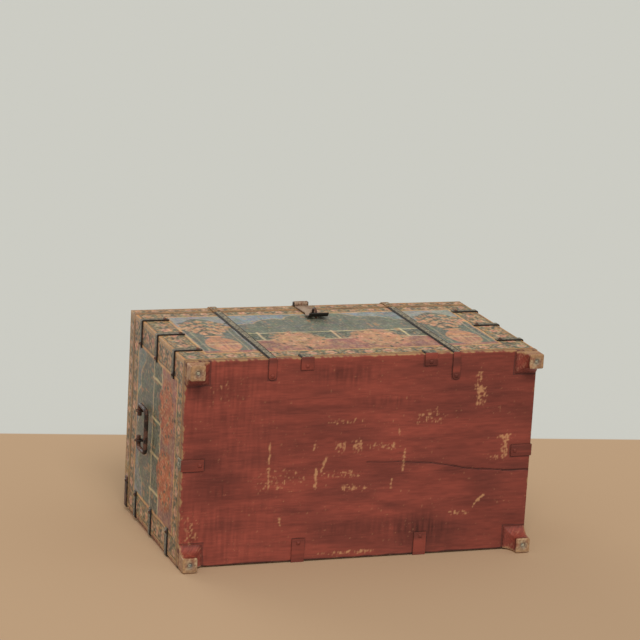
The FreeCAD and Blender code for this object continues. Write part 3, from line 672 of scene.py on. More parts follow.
    def age(self, streak, low, high, wear):
        """Uneven old colour, brown varnish, specks of dirt, and wood rubbed bare at the edges."""
        u, v, seed = self.plain_u, self.plain_v, self.seed
        strokes = cloud(u / streak[0], v / streak[1], 2.4, seed + 3)
        blots = cloud(u, v, 34, seed + 4)
        mottle = cloud(u, v, 5.5, seed + 5)
        self.colours *= (0.74 + 0.26 * strokes + 0.16 * blots + 0.18 * mottle)[:, None]
        for channel, share in enumerate((1.0, 0.96, 0.86)):
            self.colours[:, channel] *= share * (0.88 + 0.24 * cloud(u, v, 8, seed + 20 + channel))
        self.lay(0.72 - cloud(u, v, 1.9, seed + 7), colour("iron") * 2, 0.3, 0.08)
        self.lay(0.76 - cloud(u, v, 2.1, seed + 8), "cream", 0.28, 0.08)
        inset = -panel_gap(u, v, low, high)
        rub = cloud(u / streak[0], v / streak[1], 4.5, seed + 6) * 0.6 + mottle * 0.4
        self.lay(0.42 - rub + inset / 14 - wear, "edge_wood", 0.85, 0.1)
        self.lay(0.76 - rub - wear * 0.3, colour("wood") * 0.75, 0.5, 0.05)

    def seam(self, half, level):
        """Dark line along the seam between box and lid."""
        self.stroke((-half, level), (half, level), SEAM_WIDTH, "iron", 0.85)

    def grime(self, footprints):
        """Dark line of grime and painted shade along the outline of what is nailed on a face: (middle, half
        size) of each.
        """
        for middle, half in footprints:
            low, high = ([a + side * b for a, b in zip(middle, half)] for side in BOTH)
            self.frame(low, high, GRIME_AND_SHADE_WIDTH, "iron", 0.75)


def wall_panels(half, band, low_band, top_band):
    """Rectangles at the edge of a wall and inside its border."""
    inner = (-half + band, -WALL_HALF + low_band), (half - band, WALL_HALF - top_band)
    return ((-half, -WALL_HALF), (half, WALL_HALF)), inner


def front_picture(u, v):
    """Front: a floral border, a garden between the straps and a niche on each side."""
    picture = Picture(u, v, "olive", FRONT_SEED)
    outer, inner = wall_panels(HALF_LENGTH, size("border"), *FRONT_BANDS)
    (left, low), (right, high) = inner
    strap = STRAP_PLACE
    picture.garden((-strap, low), (strap, high), (-43, 0), (-123, -3, 112), (-69, 60), 44, 108,
                   "salmon", "sky")
    picture.niche((left, low), (-strap - 6, high))
    picture.niche((strap + 6, low), (right, high))
    picture.border(*outer, *inner)
    picture.age((1, 7), *outer, 0.0)
    # Grime and painted shade along the outlines of the straps
    picture.grime([((side * strap, 0), (STRAP_HALF, WALL_HALF)) for side in BOTH])
    picture.seam(HALF_LENGTH, WALL_HALF)
    return picture.colours


def end_picture(u, v, seed):
    """End: a floral border round a smaller garden."""
    picture = Picture(u, v, "olive", seed)
    outer, inner = wall_panels(HALF_DEPTH, size("border") - END_NARROWER, *END_BANDS)
    picture.garden(*inner, (-28, 17), (-87, -29, 27, 90), (-50, 56), 48, 88,
                   "orange", between("sky", "grove"))
    picture.border(*outer, *inner)
    picture.age((1, 6), *outer, 0.04)
    # Painted shade and warm bounced light: the whole end is darkened and warmed
    picture.colours *= (0.93, 0.84, 0.74)
    picture.seam(HALF_DEPTH, WALL_HALF)
    return picture.colours


def red_picture(u, v, seed):
    """Plain red paint, brushed along the board in uneven bands and grimy in places."""
    picture = Picture(u, v, "red", seed)
    blots = cloud(u / 2.6, v, 44, seed + 7) * 0.5 + cloud(u / 4, v, 13, seed + 8) * 0.5
    picture.lay(blots - 0.44, "dark_red", 0.6, 0.2)
    bands = cloud(u / 12, v, 4.2, seed + 9) * 0.4 + cloud(u / 8, v, 1.6, seed + 10) * 0.6
    picture.colours *= (0.76 + 0.48 * bands)[:, None]
    return picture


# Marks on the underside: places, sizes and depths
CRACK = [(11, -7), (62, -9), (115, -14), (155, -21), (195, -27), (236, -31), (282, -32)]
STAINS = [((105, -120), (52, 24), 0.6), ((-28, 132), (56, 16), 0.45), ((40, 86), (44, 9), 0.4),
          ((-222, -42), (42, 24), 0.5), ((-250, 20), (30, 60), 0.35), ((10, -110), (90, 12), 0.3)]
CHIPS = [((192, 88), (11, 16), 0.4), ((186, 114), (7, 18), 0.3), ((-32, 17), (10, 11), 0.42),
         ((-6, 18), (9, 11), 0.46), ((237, 8), (6, 19), 0.5), ((222, -9), (20, 5), 0.32),
         ((236, 24), (18, 4), 0.32), ((-128, -28), (46, 20), 0.2), ((109, 60), (28, 13), 0.24),
         ((-11, -48), (28, 6), 0.3), ((168, -96), (20, 4), 0.4), ((-28, -25), (38, 6), 0.3),
         ((-28, 58), (24, 5), 0.32), ((34, 16), (24, 6), 0.32), ((-12, -150), (46, 4), 0.38),
         ((-264, -106), (14, 30), 0.22), ((-212, 112), (36, 22), 0.12)]
SCRATCHES = [((-144, 29), (-145, -41), 1.3), ((-70, -16), (-70, -43), 3.6), ((-55, 2), (-61, -17), 2.4),
             ((72, 10), (70, -22), 2.4), ((54, -37), (52, -51), 2.0), ((-124, -87), (-123, -100), 1.6),
             ((-73, 30), (-75, 15), 1.6), ((53, 22), (50, 12), 1.8), ((61, 43), (62, 34), 1.8),
             ((206, -69), (190, -87), 2.8)]


def crack_runs():
    """Start and end of each straight run of the crack, with its number."""
    return enumerate(zip(CRACK, CRACK[1:]))


def underside_picture(u, v):
    """Underside: red paint with chips to the wood, scratches, a long crack, grime and painted shade along the
    outlines of the irons, and a painted contact shadow along the back edge.
    """
    seed = UNDERSIDE_SEED
    picture = red_picture(u, v, seed)

    def field(middle, spread, power):
        return np.exp(-((u - middle[0]) / spread[0]) ** power - ((v - middle[1]) / spread[1]) ** power)

    across = cloud(u, v / 9, 2.6, seed + 2)
    for middle, spread, depth in STAINS:
        share = depth * field(middle, spread, 2) * (0.3 + 1.4 * across)
        picture.wash(clamp(share), colour("dark_red") * 0.6)
    left, right = clamp((-u - 90) / 150), clamp((u - 60) / 150)
    near = clamp((-v - 70) / 60)
    picture.colours *= ((1 + 0.4 * left * (across - 0.6)) * (1 - 0.15 * right) * (1 - 0.06 * near))[:, None]
    hatch = cloud(u, v / 2.2, 1.7, seed + 3) * 0.55 + cloud(u / 1.5, v, 2.2, seed + 4) * 0.45
    worn = sum(amount * field(middle, spread, 4) for middle, spread, amount in CHIPS)
    rubbed, black = colour("wood") * 0.85, colour("iron") * 0.5
    picture.lay(0.93 - worn - hatch, rubbed, 0.68, 0.1)
    for start, end, width in SCRATCHES:
        picture.stroke(start, end, width, rubbed, 0.75, 3.6)
    for step, (start, end) in crack_runs():
        picture.stroke(start, end, 0.9 + 0.2 * step, black, 0.9)
        picture.stroke((start[0], start[1] + 1.6), (end[0], end[1] + 1.6), 1.0, "dark_red", 0.5)
    # Grime and painted shade along the outlines of the irons and feet
    picture.grime(iron_footprints())
    inset = -panel_gap(u, v, (-HALF_LENGTH, -HALF_DEPTH), (HALF_LENGTH, HALF_DEPTH))
    rub = cloud(u, v, 7, seed + 5) * 0.6 + cloud(u, v, 2.6, seed + 6) * 0.4
    picture.lay(0.42 - rub + inset / 4, "edge_wood", 0.85, 0.12)
    # Painted contact shadow: a dark line along the back edge of the underside
    picture.stroke((-HALF_LENGTH, -HALF_DEPTH), (HALF_LENGTH, -HALF_DEPTH), 4, black, 0.85)
    return picture.colours


def iron_footprints():
    """Outlines of the irons and feet on the underside, as (middle, half size)."""
    def leg(node):
        return node_box(node)[1].y - FRONT_LOW.y

    strips = [(side * STRAP_PLACE, STRAP_HALF, leg(f"front_strap_{end}"), 1) for end, side in zip(ENDS, BOTH)]
    clip, leaf = leg("front_bottom_clips"), BACK_Y - node_box("hinge_left_box_leaf")[0].y
    for place in CLIP_PLACES:
        strips += [(place, CLIP_HALF, clip, 1), (place, CLIP_HALF, leaf, -1)]
    spots = [((place, side * (HALF_DEPTH - reach / 2)), (half, reach / 2))
             for place, half, reach, side in strips]
    reach = HALF_LENGTH + node_box("left_end_clip")[1].x
    foot = 2 * node_span("foot_front_right", 0)[1] - FOOT_TRIM
    for end in BOTH:
        spots.append(((end * (HALF_LENGTH - reach / 2), 0), (reach / 2, node_span("left_end_clip", 1)[1])))
        for side in BOTH:
            corner = (end * (HALF_LENGTH - foot / 2), side * (HALF_DEPTH - foot / 2))
            spots.append((corner, (foot / 2, foot / 2)))
    return spots


def back_picture(u, v):
    """Back: red paint like the underside, rubbed a little along its edges."""
    seed = BACK_SEED
    picture = red_picture(u, v, seed)
    hatch = cloud(u, v / 2.4, 1.9, seed + 3) * 0.6 + cloud(u / 2.4, v, 2.8, seed + 4) * 0.4
    picture.lay(1.0 - hatch - 0.22 * cloud(u, v, 60, seed + 5), "wood", 0.7, 0.05)
    # Grime and painted shade along the outlines of the hinge leaves
    picture.grime([((-place, 0), (CLIP_HALF, WALL_HALF)) for place in CLIP_PLACES])
    inset = -panel_gap(u, v, (-HALF_LENGTH, -WALL_HALF), (HALF_LENGTH, WALL_HALF))
    picture.lay(0.38 - cloud(u, v, 6, seed + 6) + inset / 6, "edge_wood", 0.8, 0.12)
    return picture.colours


def rail_picture(u, v, seed):
    """Rim of the lid: a floral band between ochre lines, dark along the seam."""
    picture = Picture(u, v, between("olive", "ochre"), seed)
    half, high = HALF_LENGTH + 5, RAIL_HALF
    whole = np.full(len(u), -9.0)
    picture.speckle(whole, (3.4, 0.42, "leaf", 0.6), (4.2, 0.36, "ochre", 0.6))
    picture.floral_row((-half, 1.5), (half, 1.5), 27, 6)
    for level, paint in ((-high + 4, "ochre"), (high - 2.5, "ochre"), (-high + 7, "leaf")):
        picture.stroke((-half, level), (half, level), 2.6, paint, 0.75)
    picture.age((5, 1), (-half, -high), (half, high), 0.06)
    picture.seam(half, -high)
    return picture.colours


def dome_picture(u, v, half, seed):
    """Lid: a floral border and sprays of flowers on a teal ground."""
    picture = Picture(u, v, "teal", seed)
    tall = DOME_ARC
    greens = [colour("teal") * 0.92, "grove", colour("teal") * 1.08]
    picture.foliage((0, tall / 2), (half, tall / 2), 120, greens, 12)
    count = max(2, round(2 * half / 62))
    for step in range(count):
        middle = -half + 2 * half * (step + 0.5) / count
        picture.stroke((middle, 30), (middle + 4, tall - 26), 2.2, "leaf", 0.8)
        for level, reach in ((0.34, 11), (0.56, 13), (0.76, 9)):
            side = 9 * (-1) ** (step + round(level * 10))
            picture.blossom((middle + side, tall * level), reach, 1.2 * side)
    picture.panel((-half - 9, -9), (half + 9, 19), "olive")
    picture.floral_row((-half, 8), (half, 8), 33, 8)
    picture.stroke((-half, 20), (half, 20), 3, "cream", 0.7)
    picture.age((3, 3), (-half, -20), (half, tall + 20), 0.02)
    return picture.colours


def crown_picture(u, v):
    """Top of the lid: a row of large flowers inside a border."""
    picture = Picture(u, v, "teal", CROWN_SEED)
    half, high = CROWN_HALF
    low, top = (-half, -high), (half, high)
    picture.foliage((0, 0), CROWN_HALF, 80, [colour("teal") * 0.92, "grove"], 12)
    picture.floral_row((-half + 20, 0), (half - 20, 0), 56, 17)
    picture.frame(low, top, 3, "ochre", 0.8, 4)
    picture.frame(low, top, 1.6, "cream", 0.7, 9)
    picture.age((4, 2), low, top, 0.04)
    return picture.colours


# Modelling
def deselect():
    if bpy.context.object and bpy.context.object.mode != "OBJECT":
        bpy.ops.object.mode_set(mode="OBJECT")
    bpy.ops.object.select_all(action="DESELECT")


def select_all(action="SELECT"):
    bpy.ops.mesh.select_all(action=action)


def open_grid(name, columns, rows, kind):
    """New flat grid, in edit mode with points or edges as what is selected."""
    deselect()
    bpy.ops.mesh.primitive_grid_add(x_subdivisions=columns, y_subdivisions=rows, size=1)
    piece = bpy.context.object
    piece.name = piece.data.name = name
    bpy.ops.object.mode_set(mode="EDIT")
    bpy.ops.mesh.select_mode(type=kind)
    return piece


def close_mesh():
    """Turns every face outward and leaves edit mode."""
    select_all()
    bpy.ops.mesh.normals_make_consistent(inside=False)
    bpy.ops.object.mode_set(mode="OBJECT")


def apply_modifier(piece, kind, **settings):
    modifier = piece.modifiers.new(kind, kind)
    for key, value in settings.items():
        setattr(modifier, key, value)
    bpy.ops.object.modifier_apply(modifier=modifier.name)


def apply_place(piece, matrix):
    """Turns and moves a board that was modelled at the origin, and applies that to its mesh."""
    piece.matrix_world = matrix
    bpy.ops.object.transform_apply(location=True, rotation=True, scale=True)
    bpy.ops.object.shade_smooth_by_angle(angle=BOARD_SHARP)


def facing(place, across, up):
    """Matrix at a place with its axes along across, up and the direction that these two face."""
    return Matrix.Translation(place) @ Matrix((across, up, across.cross(up))).transposed().to_4x4()


def coordinates(piece):
    """Mesh points of a piece, in millimetres."""
    flat = np.zeros(3 * len(piece.data.vertices))
    piece.data.vertices.foreach_get("co", flat)
    return flat.reshape(-1, 3) / MM


def store_paint(piece, colours):
    """Keeps a colour for each mesh point as the attribute that the paint finish reads."""
    layer = piece.data.color_attributes.new("paint", "FLOAT_COLOR", "POINT")
    solid = np.ones((len(colours), 4))
    solid[:, :3] = clamp(colours)
    layer.data.foreach_set("color", solid.ravel())


def settle(piece, body, slot, material, *nodes):
    """Gives a piece its finish and its body, and hides the CAD nodes that it stands for."""
    piece.data.materials.clear()
    piece.data.materials.append(material)
    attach(piece, body)
    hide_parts(*nodes)


def push(shift=0.0, scale=(1, 1, 1)):
    """Extrudes the selected rim, scales it about the origin and sinks it."""
    bpy.ops.mesh.extrude_edges_indiv()
    bpy.ops.transform.resize(value=scale, center_override=(0, 0, 0))
    bpy.ops.transform.translate(value=(0, 0, -shift * MM))


def board(node, body, kind, finish, place, half, thick, step, picture, rabbeted=False, work=None):
    """Board made from a fine grid as its outer face: eased edges, walls, rabbeted ends and an inner face.

    Its place is the middle of the face and the directions across and up it. It is worked, then painted.
    """
    middle, across, up = place
    wide, high = (2 * way for way in half)
    piece = open_grid(f"{kind}_{node}", round(wide / step), round(high / step), "EDGE")
    ease = size("edge_ease")
    select_all()
    inner_wide, inner_high = wide - 2 * ease, high - 2 * ease
    bpy.ops.transform.resize(value=(inner_wide * MM, inner_high * MM, 1), center_override=(0, 0, 0))
    select_all("DESELECT")
    bpy.ops.mesh.select_non_manifold()
    half_wide, half_high = wide - 0.6 * ease, high - 0.6 * ease
    push(0.3 * ease, (half_wide / inner_wide, half_high / inner_high, 1))
    push(0.7 * ease, (wide / half_wide, high / half_high, 1))
    sunk = ease
    if rabbeted:
        push(LIP - ease)
        push(0, (1 - 2 * THICKNESS / wide, 1, 1))
        sunk = LIP
    push(thick - sunk)
    bpy.ops.mesh.edge_face_add()
    close_mesh()
    apply_place(piece, facing(middle * MM, across, up))
    if work:
        work(piece, middle)
    paint_board(piece, place, thick, picture)
    settle(piece, body, f"{kind}_wood", finish, node)


def paint_board(piece, place, thick, picture):
    """Paints the face of a board, its rubbed edges and its plain inner side."""
    middle, across, up = place
    offset = coordinates(piece) - np.array(middle)
    u, v, sunk = (offset @ np.array(axis) for axis in (across, up, across.cross(up)))
    colours = picture(u, v)
    walls = sunk < -1.2 * size("edge_ease")
    patchy = 0.75 + 0.4 * cloud(u + 3 * sunk, v + 3 * sunk, 9, 5)
    colours[walls] = colour("edge_wood") * patchy[walls, None]
    colours[sunk < -thick + 0.5] = colour("inside")
    store_paint(piece, colours)


def upright_board(node, body, finish, way, level, half, picture, kind="painted", step="picture_step"):
    """Wall or rail on one of the four sides. Those at front and back are rabbeted over the ends."""
    outward, rabbeted = WAYS[way], way in SIDES
    middle = Vector((outward.x * HALF_LENGTH, MIDDLE_Y + outward.y * HALF_DEPTH, level))
    halves = (HALF_LENGTH if rabbeted else END_HALF, half)
    board(node, body, kind, finish, (middle, Z.cross(outward), Z), halves, THICKNESS, size(step), picture,
          rabbeted)


def slope(way, quarter, finish):
    """Lid slope: an edge spun round the dome's axis, thickened, and cut to its mitres at both ends."""
    half, depth = (HALF_DEPTH, HALF_LENGTH) if quarter % 2 else (HALF_LENGTH, HALF_DEPTH)
    step = size("plain_step")
    piece = open_grid(f"painted_lid_{way}_slope", round(2 * half / step), 1, "VERT")
    select_all("DESELECT")
    bpy.ops.object.mode_set(mode="OBJECT")
    for point in piece.data.vertices:
        point.select = point.co.y > 0
    bpy.ops.object.mode_set(mode="EDIT")
    bpy.ops.mesh.delete(type="VERT")
    select_all()
    bpy.ops.transform.resize(value=(2 * half * MM, 1, 1), center_override=(0, 0, 0))
    bpy.ops.transform.translate(value=(0, 0.5 - depth * MM, RAIL_TOP * MM))
    axis_y, axis_z = DOME_RUN - depth, CROWN_HIGH.z - DOME_RADIUS
    bpy.ops.mesh.spin(steps=round(DOME_ARC / step), angle=DOME_SWEEP, center=(0, axis_y * MM, axis_z * MM),
                      axis=(1, 0, 0))
    close_mesh()
    outward = piece.data.polygons[0].normal
    inward = -1 if outward.y < 0 or outward.z > 0 else 1
    apply_modifier(piece, "SOLIDIFY", thickness=DOME_THICKNESS * MM, offset=inward)
    bpy.ops.object.mode_set(mode="EDIT")
    for end in BOTH:
        select_all()
        bpy.ops.mesh.bisect(plane_co=(end * half * MM, -depth * MM, 0), plane_no=(end, 1, 0),
                            use_fill=True, clear_outer=True)
    close_mesh()
    points = coordinates(piece)
    out, rise = points[:, 1] - axis_y, points[:, 2] - axis_z
    arc = (DOME_SWEEP - np.arctan2(-out, rise)) * DOME_RADIUS
    colours = dome_picture(points[:, 0], arc, half, DOME_SEED + 90 * quarter)
    colours[np.hypot(out, rise) < DOME_RADIUS - 0.5 * DOME_THICKNESS] = colour("inside")
    store_paint(piece, colours)
    turn = Matrix.Rotation(quarter * math.pi / 2, 4, "Z")
    apply_place(piece, Matrix.Translation((0, MIDDLE_Y * MM, 0)) @ turn)
    settle(piece, "lid", "painted_wood", finish, f"lid_{way}_slope")


def merged_copy(node, name):
    """New piece with a CAD node's shape, its loose triangles merged into one skin."""
    deselect()
    piece = bpy.data.objects.new(name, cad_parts[node].data.copy())
    piece.data.name = name
    bpy.context.scene.collection.objects.link(piece)
    piece.select_set(True)
    bpy.context.view_layer.objects.active = piece
    bpy.ops.object.mode_set(mode="EDIT")
    bpy.ops.mesh.select_mode(type="EDGE")
    select_all()
    bpy.ops.mesh.remove_doubles(threshold=MERGE_GAP)
    return piece


def forged(body, material, *nodes):
    """Iron pieces with the CAD shape and hammered, rounded edges."""
    for node in nodes:
        piece = merged_copy(node, f"forged_{node}")
        bpy.ops.mesh.dissolve_limited(angle_limit=FLAT)
        select_all("DESELECT")
        bpy.ops.mesh.edges_select_sharp(sharpness=IRON_SHARP)
        bpy.ops.mesh.bevel(offset=size("iron_ease") * MM, segments=2, affect="EDGES", clamp_overlap=True)
        bpy.ops.object.mode_set(mode="OBJECT")
        bpy.ops.object.shade_smooth_by_angle(angle=IRON_SMOOTH)
        settle(piece, body, "forged_iron", material, node)


def round_bar(body, material, node):
    """Forged bar with its flats hammered round."""
    piece = merged_copy(node, f"forged_{node}")
    bpy.ops.mesh.tris_convert_to_quads()
    bpy.ops.object.mode_set(mode="OBJECT")
    apply_modifier(piece, "SUBSURF", levels=2, render_levels=2)
    bpy.ops.object.shade_smooth()
    settle(piece, body, "forged_iron", material, node)


class CHEST_OT_bottom(bpy.types.Operator):
    """Red underside of the chest, with chips, scratches and a crack"""

    bl_idname = "chest.bottom"
    bl_label = "Bottom board"

    def execute(self, context):
        finish = paint_finish("red_underside_paint", (0.12, 1, 1), 0.15, 0.5)
        middle = Vector((0, MIDDLE_Y, BOTTOM_LOW.z))
        board("bottom_board", "box", "red", finish, (middle, X, -Y), (HALF_LENGTH, HALF_DEPTH),
              BOTTOM_HIGH.z - BOTTOM_LOW.z, size("picture_step") * UNDERSIDE_COARSER, underside_picture,
              work=self.open_crack)
        return {"FINISHED"}

    def open_crack(self, piece, middle):
        """Sinks the face along its crack, deeper towards the edge of the board."""
        offset = coordinates(piece) - np.array(middle)
        u, v = wobbled(offset[:, 0], -offset[:, 1], UNDERSIDE_SEED)
        face = offset[:, 2] < size("edge_ease") / 2
        group = piece.vertex_groups.new(name="crack")
        for step, (start, end) in crack_runs():
            along = np.flatnonzero(face & (line_gap(u, v, start, end) < CRACK_HALF))
            group.add(along.tolist(), (step + 2) / len(CRACK), "REPLACE")
        apply_modifier(piece, "DISPLACE", vertex_group=group.name, mid_level=0,
                       strength=-size("crack_depth") * MM)


class CHEST_OT_walls(bpy.types.Operator):
    """Painted front and ends, and the plain red back"""

    bl_idname = "chest.walls"
    bl_label = "Walls"

    def execute(self, context):
        finish = paint_finish("picture_paint", (1, 1, 0.2), 0.5, 0.45)
        red = paint_finish("red_back_paint", (0.12, 1, 1), 0.3, 0.5)
        place = (WALL_MIDDLE, WALL_HALF)
        upright_board("front_board", "box", finish, "front", *place, front_picture)
        for end, shift in zip(ENDS, BOTH):
            upright_board(f"{end}_end_board", "box", finish, end, *place,
                          lambda u, v: end_picture(u, v, END_SEED + shift))
        upright_board("back_board", "box", red, "back", *place, back_picture, "red", "plain_step")
        return {"FINISHED"}


class CHEST_OT_feet(bpy.types.Operator):
    """Coved corner feet, red in the coves and rubbed to the wood on the pads and corners"""

    bl_idname = "chest.feet"
    bl_label = "Feet"

    def execute(self, context):
        finish = paint_finish("foot_paint", (1, 1, 1), 0.25, 0.5)
        for node in (f"foot_{side}_{end}" for side in SIDES for end in ENDS):
            piece = merged_copy(node, f"worn_{node}")
            bpy.ops.object.mode_set(mode="OBJECT")
            apply_modifier(piece, "REMESH", mode="VOXEL", voxel_size=size("foot_grain") * MM)
            apply_modifier(piece, "SMOOTH", factor=0.5, iterations=FOOT_RUBS)
            bpy.ops.object.shade_smooth()
            self.paint(piece)
            settle(piece, "box", "foot_wood", finish, node)
        return {"FINISHED"}

    def paint(self, piece):
        """Red coves with painted shade in their folds, and mottled bare wood on the pad and the outer corner.
        """
        x, y, rise = coordinates(piece).T
        far_x, far_y = np.abs(x), np.abs(y - MIDDLE_Y)
        outer = np.minimum(HALF_LENGTH - far_x, HALF_DEPTH - far_y)
        patchy = cloud(x + rise, y - rise, 6, FOOT_SEED)
        fine = cloud(x - rise, y + rise, 2.0, FOOT_SEED + 1)
        worn = clamp(1.2 - outer / 4) + clamp(1.3 - rise / 3)
        worn = clamp(worn + 0.7 * (patchy - 0.68) + 0.4 * (fine - 0.6))[:, None]
        pale = (0.6 * patchy * fine * clamp(outer / 5 - 0.6))[:, None]
        wood = colour("edge_wood") * np.array((0.92, 0.88, 1.0))
        bare = wood + (colour("cream") - wood) * pale
        colours = (colour("red") * 0.92 * (1 - worn) + bare * worn) * (0.72 + 0.46 * fine)[:, None]
        nail = node_box("foot_nails")[1] - Vector((NAIL_HALF, MIDDLE_Y + NAIL_HALF, 0))
        far = np.hypot(far_x - nail.x, far_y - nail.y)
        stain = (np.exp(-(far / 5.5) ** 2) * clamp(2 - rise / 2) * (0.5 + 0.5 * fine))[:, None]
        colours += stain * (colour("teal") * 0.8 - colours)
        inner = clamp(outer / 3 - 1)
        # Painted shade in the fold at the pad's edge and where the foot meets the bottom board
        crease_shade = np.exp(-((rise - 4.5) / 1.6) ** 2) + clamp((rise - BOTTOM_LOW.z + 3.5) / 3)
        store_paint(piece, colours * (1 - 0.55 * clamp(crease_shade * inner))[:, None])


class CHEST_OT_lid(bpy.types.Operator):
    """Painted rim, four curved slopes and the crown of the lid"""

    bl_idname = "chest.lid"
    bl_label = "Lid"

    def execute(self, context):
        rim = paint_finish("rim_paint", (0.2, 1, 1), 0.6, 0.45)
        for way, seed in zip(WAYS, RAIL_SEEDS):
            upright_board(f"lid_{way}_rail", "lid", rim, way, RAIL_MIDDLE, RAIL_HALF,
                          lambda u, v: rail_picture(u, v, seed))
        dome = paint_finish("dome_paint", (0.4, 0.4, 1), 0.6, 0.45)
        for quarter, way in enumerate(("front", "right", "back", "left")):
            slope(way, quarter, dome)
        middle = Vector((0, MIDDLE_Y, CROWN_HIGH.z))
        board("lid_crown_board", "lid", "painted", dome, (middle, X, Y), CROWN_HALF, DOME_THICKNESS,
              size("plain_step"), crown_picture)
        return {"FINISHED"}


class CHEST_OT_straps(bpy.types.Operator):
    """Iron straps and clips: painted over on the front and under the bottom, bare at the corners"""

    bl_idname = "chest.straps"
    bl_label = "Straps and clips"

    def execute(self, context):
        painted = strap_finish("painted_strap", colour("olive") * 1.2, strap_iron_edge_and_shade)
        clip = strap_finish("painted_clip", "olive", clip_edge)
        corner = strap_finish("corner_strap", colour("olive") * 0.9, corner_iron_edge_and_shade, 0.15)
        rim = strap_finish("rim_strap", between("olive", "ochre"))
        bare = iron_finish("rim_strap_iron", 0.2, 0.3)
        for end in ENDS:
            forged("box", painted, f"front_strap_{end}")
            forged("lid", rim, f"lid_strap_{end}")
            forged("box", clip, f"{end}_end_clip")
            forged("box", corner, *(f"corner_straps_{side}_{end}" for side in SIDES))
        forged("box", clip, "front_bottom_clips")
        forged("lid", bare, "rim_corner_straps")
        return {"FINISHED"}


class CHEST_OT_hinges(bpy.types.Operator):
    """Hinge leaves on the back and their pins"""

    bl_idname = "chest.hinges"
    bl_label = "Hinges"

    def execute(self, context):
        leaf = strap_finish("painted_leaf", colour("rust") * 0.75, flecked=0.0)
        bare = iron_finish("hinge_iron", 0.6, 0.4)
        for end in ENDS:
            forged("box", leaf, f"hinge_{end}_box_leaf")
            forged("lid", bare, f"hinge_{end}_lid_leaf")
        forged("box", bare, "hinge_pins")
        return {"FINISHED"}


class CHEST_OT_hasp(bpy.types.Operator):
    """Hasp, its hinge plate and pin, and the staple that it closes over"""

    bl_idname = "chest.hasp"
    bl_label = "Hasp"

    def execute(self, context):
        plate = plate_finish()
        dark = iron_finish("staple_iron", 0.1, 0.4)
        forged("hasp", plate, "hasp_strap")
        forged("lid", plate, "hasp_hinge_plate")
        forged("lid", dark, "hasp_hinge_pin")
        round_bar("box", dark, "hasp_staple")
        return {"FINISHED"}


class CHEST_OT_handles(bpy.types.Operator):
    """Bail handles on the ends and the eye staples that carry them"""

    bl_idname = "chest.handles"
    bl_label = "Handles"

    def execute(self, context):
        grip = iron_finish("handle_iron", 0.25, 0.35)
        dark = iron_finish("eye_iron", 0.1, 0.4)
        for end in ENDS:
            round_bar(f"{end}_handle", grip, f"{end}_handle_bail")
            round_bar("box", dark, f"{end}_handle_staples")
        return {"FINISHED"}


class CHEST_OT_nails(bpy.types.Operator):
    """Forged nails of the straps, clips, hinges, feet and boards"""

    bl_idname = "chest.nails"
    bl_label = "Nails"

    def execute(self, context):
        bare = iron_finish("nail_iron", 0.4, 0.4)
        painted = strap_finish("painted_nail", colour("olive") * 1.4)
        forged("box", painted, "front_strap_nails")
        forged("lid", painted, "lid_strap_nails")
        forged("box", painted, "clip_nails", "hinge_box_nails")
        forged("box", bare, "corner_strap_nails")
        forged("box", worn_finish(), "foot_nails")
        forged("lid", bare, "rim_strap_nails", "hinge_lid_nails", "hasp_plate_nails")
        for node in ("carcass_nails", "lid_frame_nails"):
            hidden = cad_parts[node]
            hidden.data.materials.clear()
            hidden.data.materials.append(bare)
        return {"FINISHED"}


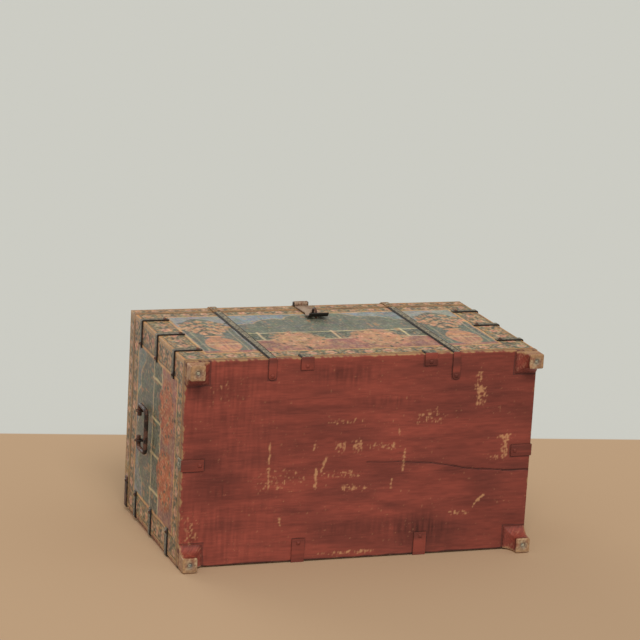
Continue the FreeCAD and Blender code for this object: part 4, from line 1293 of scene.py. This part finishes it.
class CHEST_OT_stage(bpy.types.Operator):
    """Pale floors, soft light and the camera"""

    bl_idname = "chest.stage"
    bl_label = "Stage"

    def execute(self, context):
        back = Vector((0, BACK_Y * MM + FLOOR_GAP, BOTTOM_LOW.z * MM))
        tilt = math.atan2(CAD_HIGH.y - back.y, (RAIL_MIDDLE - RAIL_HALF) * MM - back.z)
        self.floor("floor_behind", back, math.pi / 2 - tilt, True)
        self.floor("floor_below", Vector((0, 0, 0)), 0, False)
        self.light(context)
        self.camera(context)
        context.scene.view_settings.view_transform = "Standard"
        return {"FINISHED"}

    def floor(self, name, middle, tilt, walled):
        """One-sided floor that takes shadows and throws none. A pale wall may begin along a line on it."""
        deselect()
        bpy.ops.mesh.primitive_plane_add(size=FLOOR_SIZE, location=middle, rotation=(tilt, 0, 0))
        piece = bpy.context.object
        piece.name = name
        finish = Finish(name)
        paint = (*colour("floor"), 1)
        if walled:
            beyond = finish.axis(1) - finish.axis(0) * WALL_LEAN
            paint = finish.mix(beyond.rise(WALL_START, WALL_START + WALL_BLUR), "floor", "wall")
        finish.feed(Base_Color=paint, Roughness=1.0, Specular_IOR_Level=0)
        hidden = finish.node("ShaderNodeNewGeometry", output="Backfacing")
        clear = finish.node("ShaderNodeBsdfTransparent")
        solid = Value(finish, finish.shader.outputs[0])
        mixed = finish.node("ShaderNodeMixShader", inputs={0: hidden, 1: solid, 2: clear})
        finish.join(finish.tree.nodes["Material Output"].inputs["Surface"], mixed)
        piece.data.materials.append(finish.material)
        piece.visible_diffuse = piece.visible_shadow = False
        piece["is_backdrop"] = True

    def light(self, context):
        """Even light from all round, which looks like the wall where it is seen, and three soft suns."""
        world = bpy.data.worlds.new("studio")
        context.scene.world = world
        world.use_nodes = True
        nodes = Nodes(world.node_tree)
        camera, glossy, clear = (nodes.node("ShaderNodeLightPath", output=f"Is {ray} Ray")
                                 for ray in ("Camera", "Glossy", "Transmission"))
        seen = nodes.mix(camera.most(glossy).most(clear), WORLD_GREY, "wall")
        nodes.join(nodes.tree.nodes["Background"].inputs["Color"], seen)
        for name, heading, power, spread in SUNS:
            lamp = bpy.data.lights.new(name, "SUN")
            lamp.energy, lamp.angle = power, math.radians(spread)
            holder = bpy.data.objects.new(name, lamp)
            holder.rotation_euler = Vector(heading).to_track_quat("-Z", "Y").to_euler()
            context.scene.collection.objects.link(holder)

    def camera(self, context):
        """Camera below and in front of the standing chest, as if the chest lay on its back."""
        right = CAMERA_VIEW.cross(CAMERA_UP).normalized()
        lens = bpy.data.cameras.new("camera")
        lens.lens = CAMERA_LENS
        holder = bpy.data.objects.new("camera", lens)
        holder.matrix_world = facing(CAMERA_PLACE, right, right.cross(CAMERA_VIEW))
        context.scene.collection.objects.link(holder)
        context.scene.camera = holder


class CHEST_PT_panel(bpy.types.Panel):
    """Sizes, colours and pieces of the chest"""

    bl_label = "Chest"
    bl_idname = "CHEST_PT_panel"
    bl_space_type = "VIEW_3D"
    bl_region_type = "UI"
    bl_category = "Chest"

    def draw(self, context):
        for group in (context.scene.chest_sizes, context.scene.chest_colours):
            for name in group.__annotations__:
                self.layout.prop(group, name)
        for operator in OPERATORS:
            self.layout.operator(operator.bl_idname)


OPERATORS = (CHEST_OT_bottom, CHEST_OT_walls, CHEST_OT_feet, CHEST_OT_lid, CHEST_OT_straps, CHEST_OT_hinges,
             CHEST_OT_hasp, CHEST_OT_handles, CHEST_OT_nails, CHEST_OT_stage)
CLASSES = (ChestSizes, ChestColours, *OPERATORS, CHEST_PT_panel)


def register():
    for each in CLASSES:
        bpy.utils.register_class(each)
    bpy.types.Scene.chest_sizes = PointerProperty(type=ChestSizes)
    bpy.types.Scene.chest_colours = PointerProperty(type=ChestColours)


def unregister():
    del bpy.types.Scene.chest_colours
    del bpy.types.Scene.chest_sizes
    for each in reversed(CLASSES):
        bpy.utils.unregister_class(each)


def main():
    register()
    bpy.ops.chest.bottom()
    bpy.ops.chest.walls()
    bpy.ops.chest.feet()
    bpy.ops.chest.lid()
    bpy.ops.chest.straps()
    bpy.ops.chest.hinges()
    bpy.ops.chest.hasp()
    bpy.ops.chest.handles()
    bpy.ops.chest.nails()
    bpy.ops.chest.stage()
    deselect()


if __name__ == "__main__":
    main()
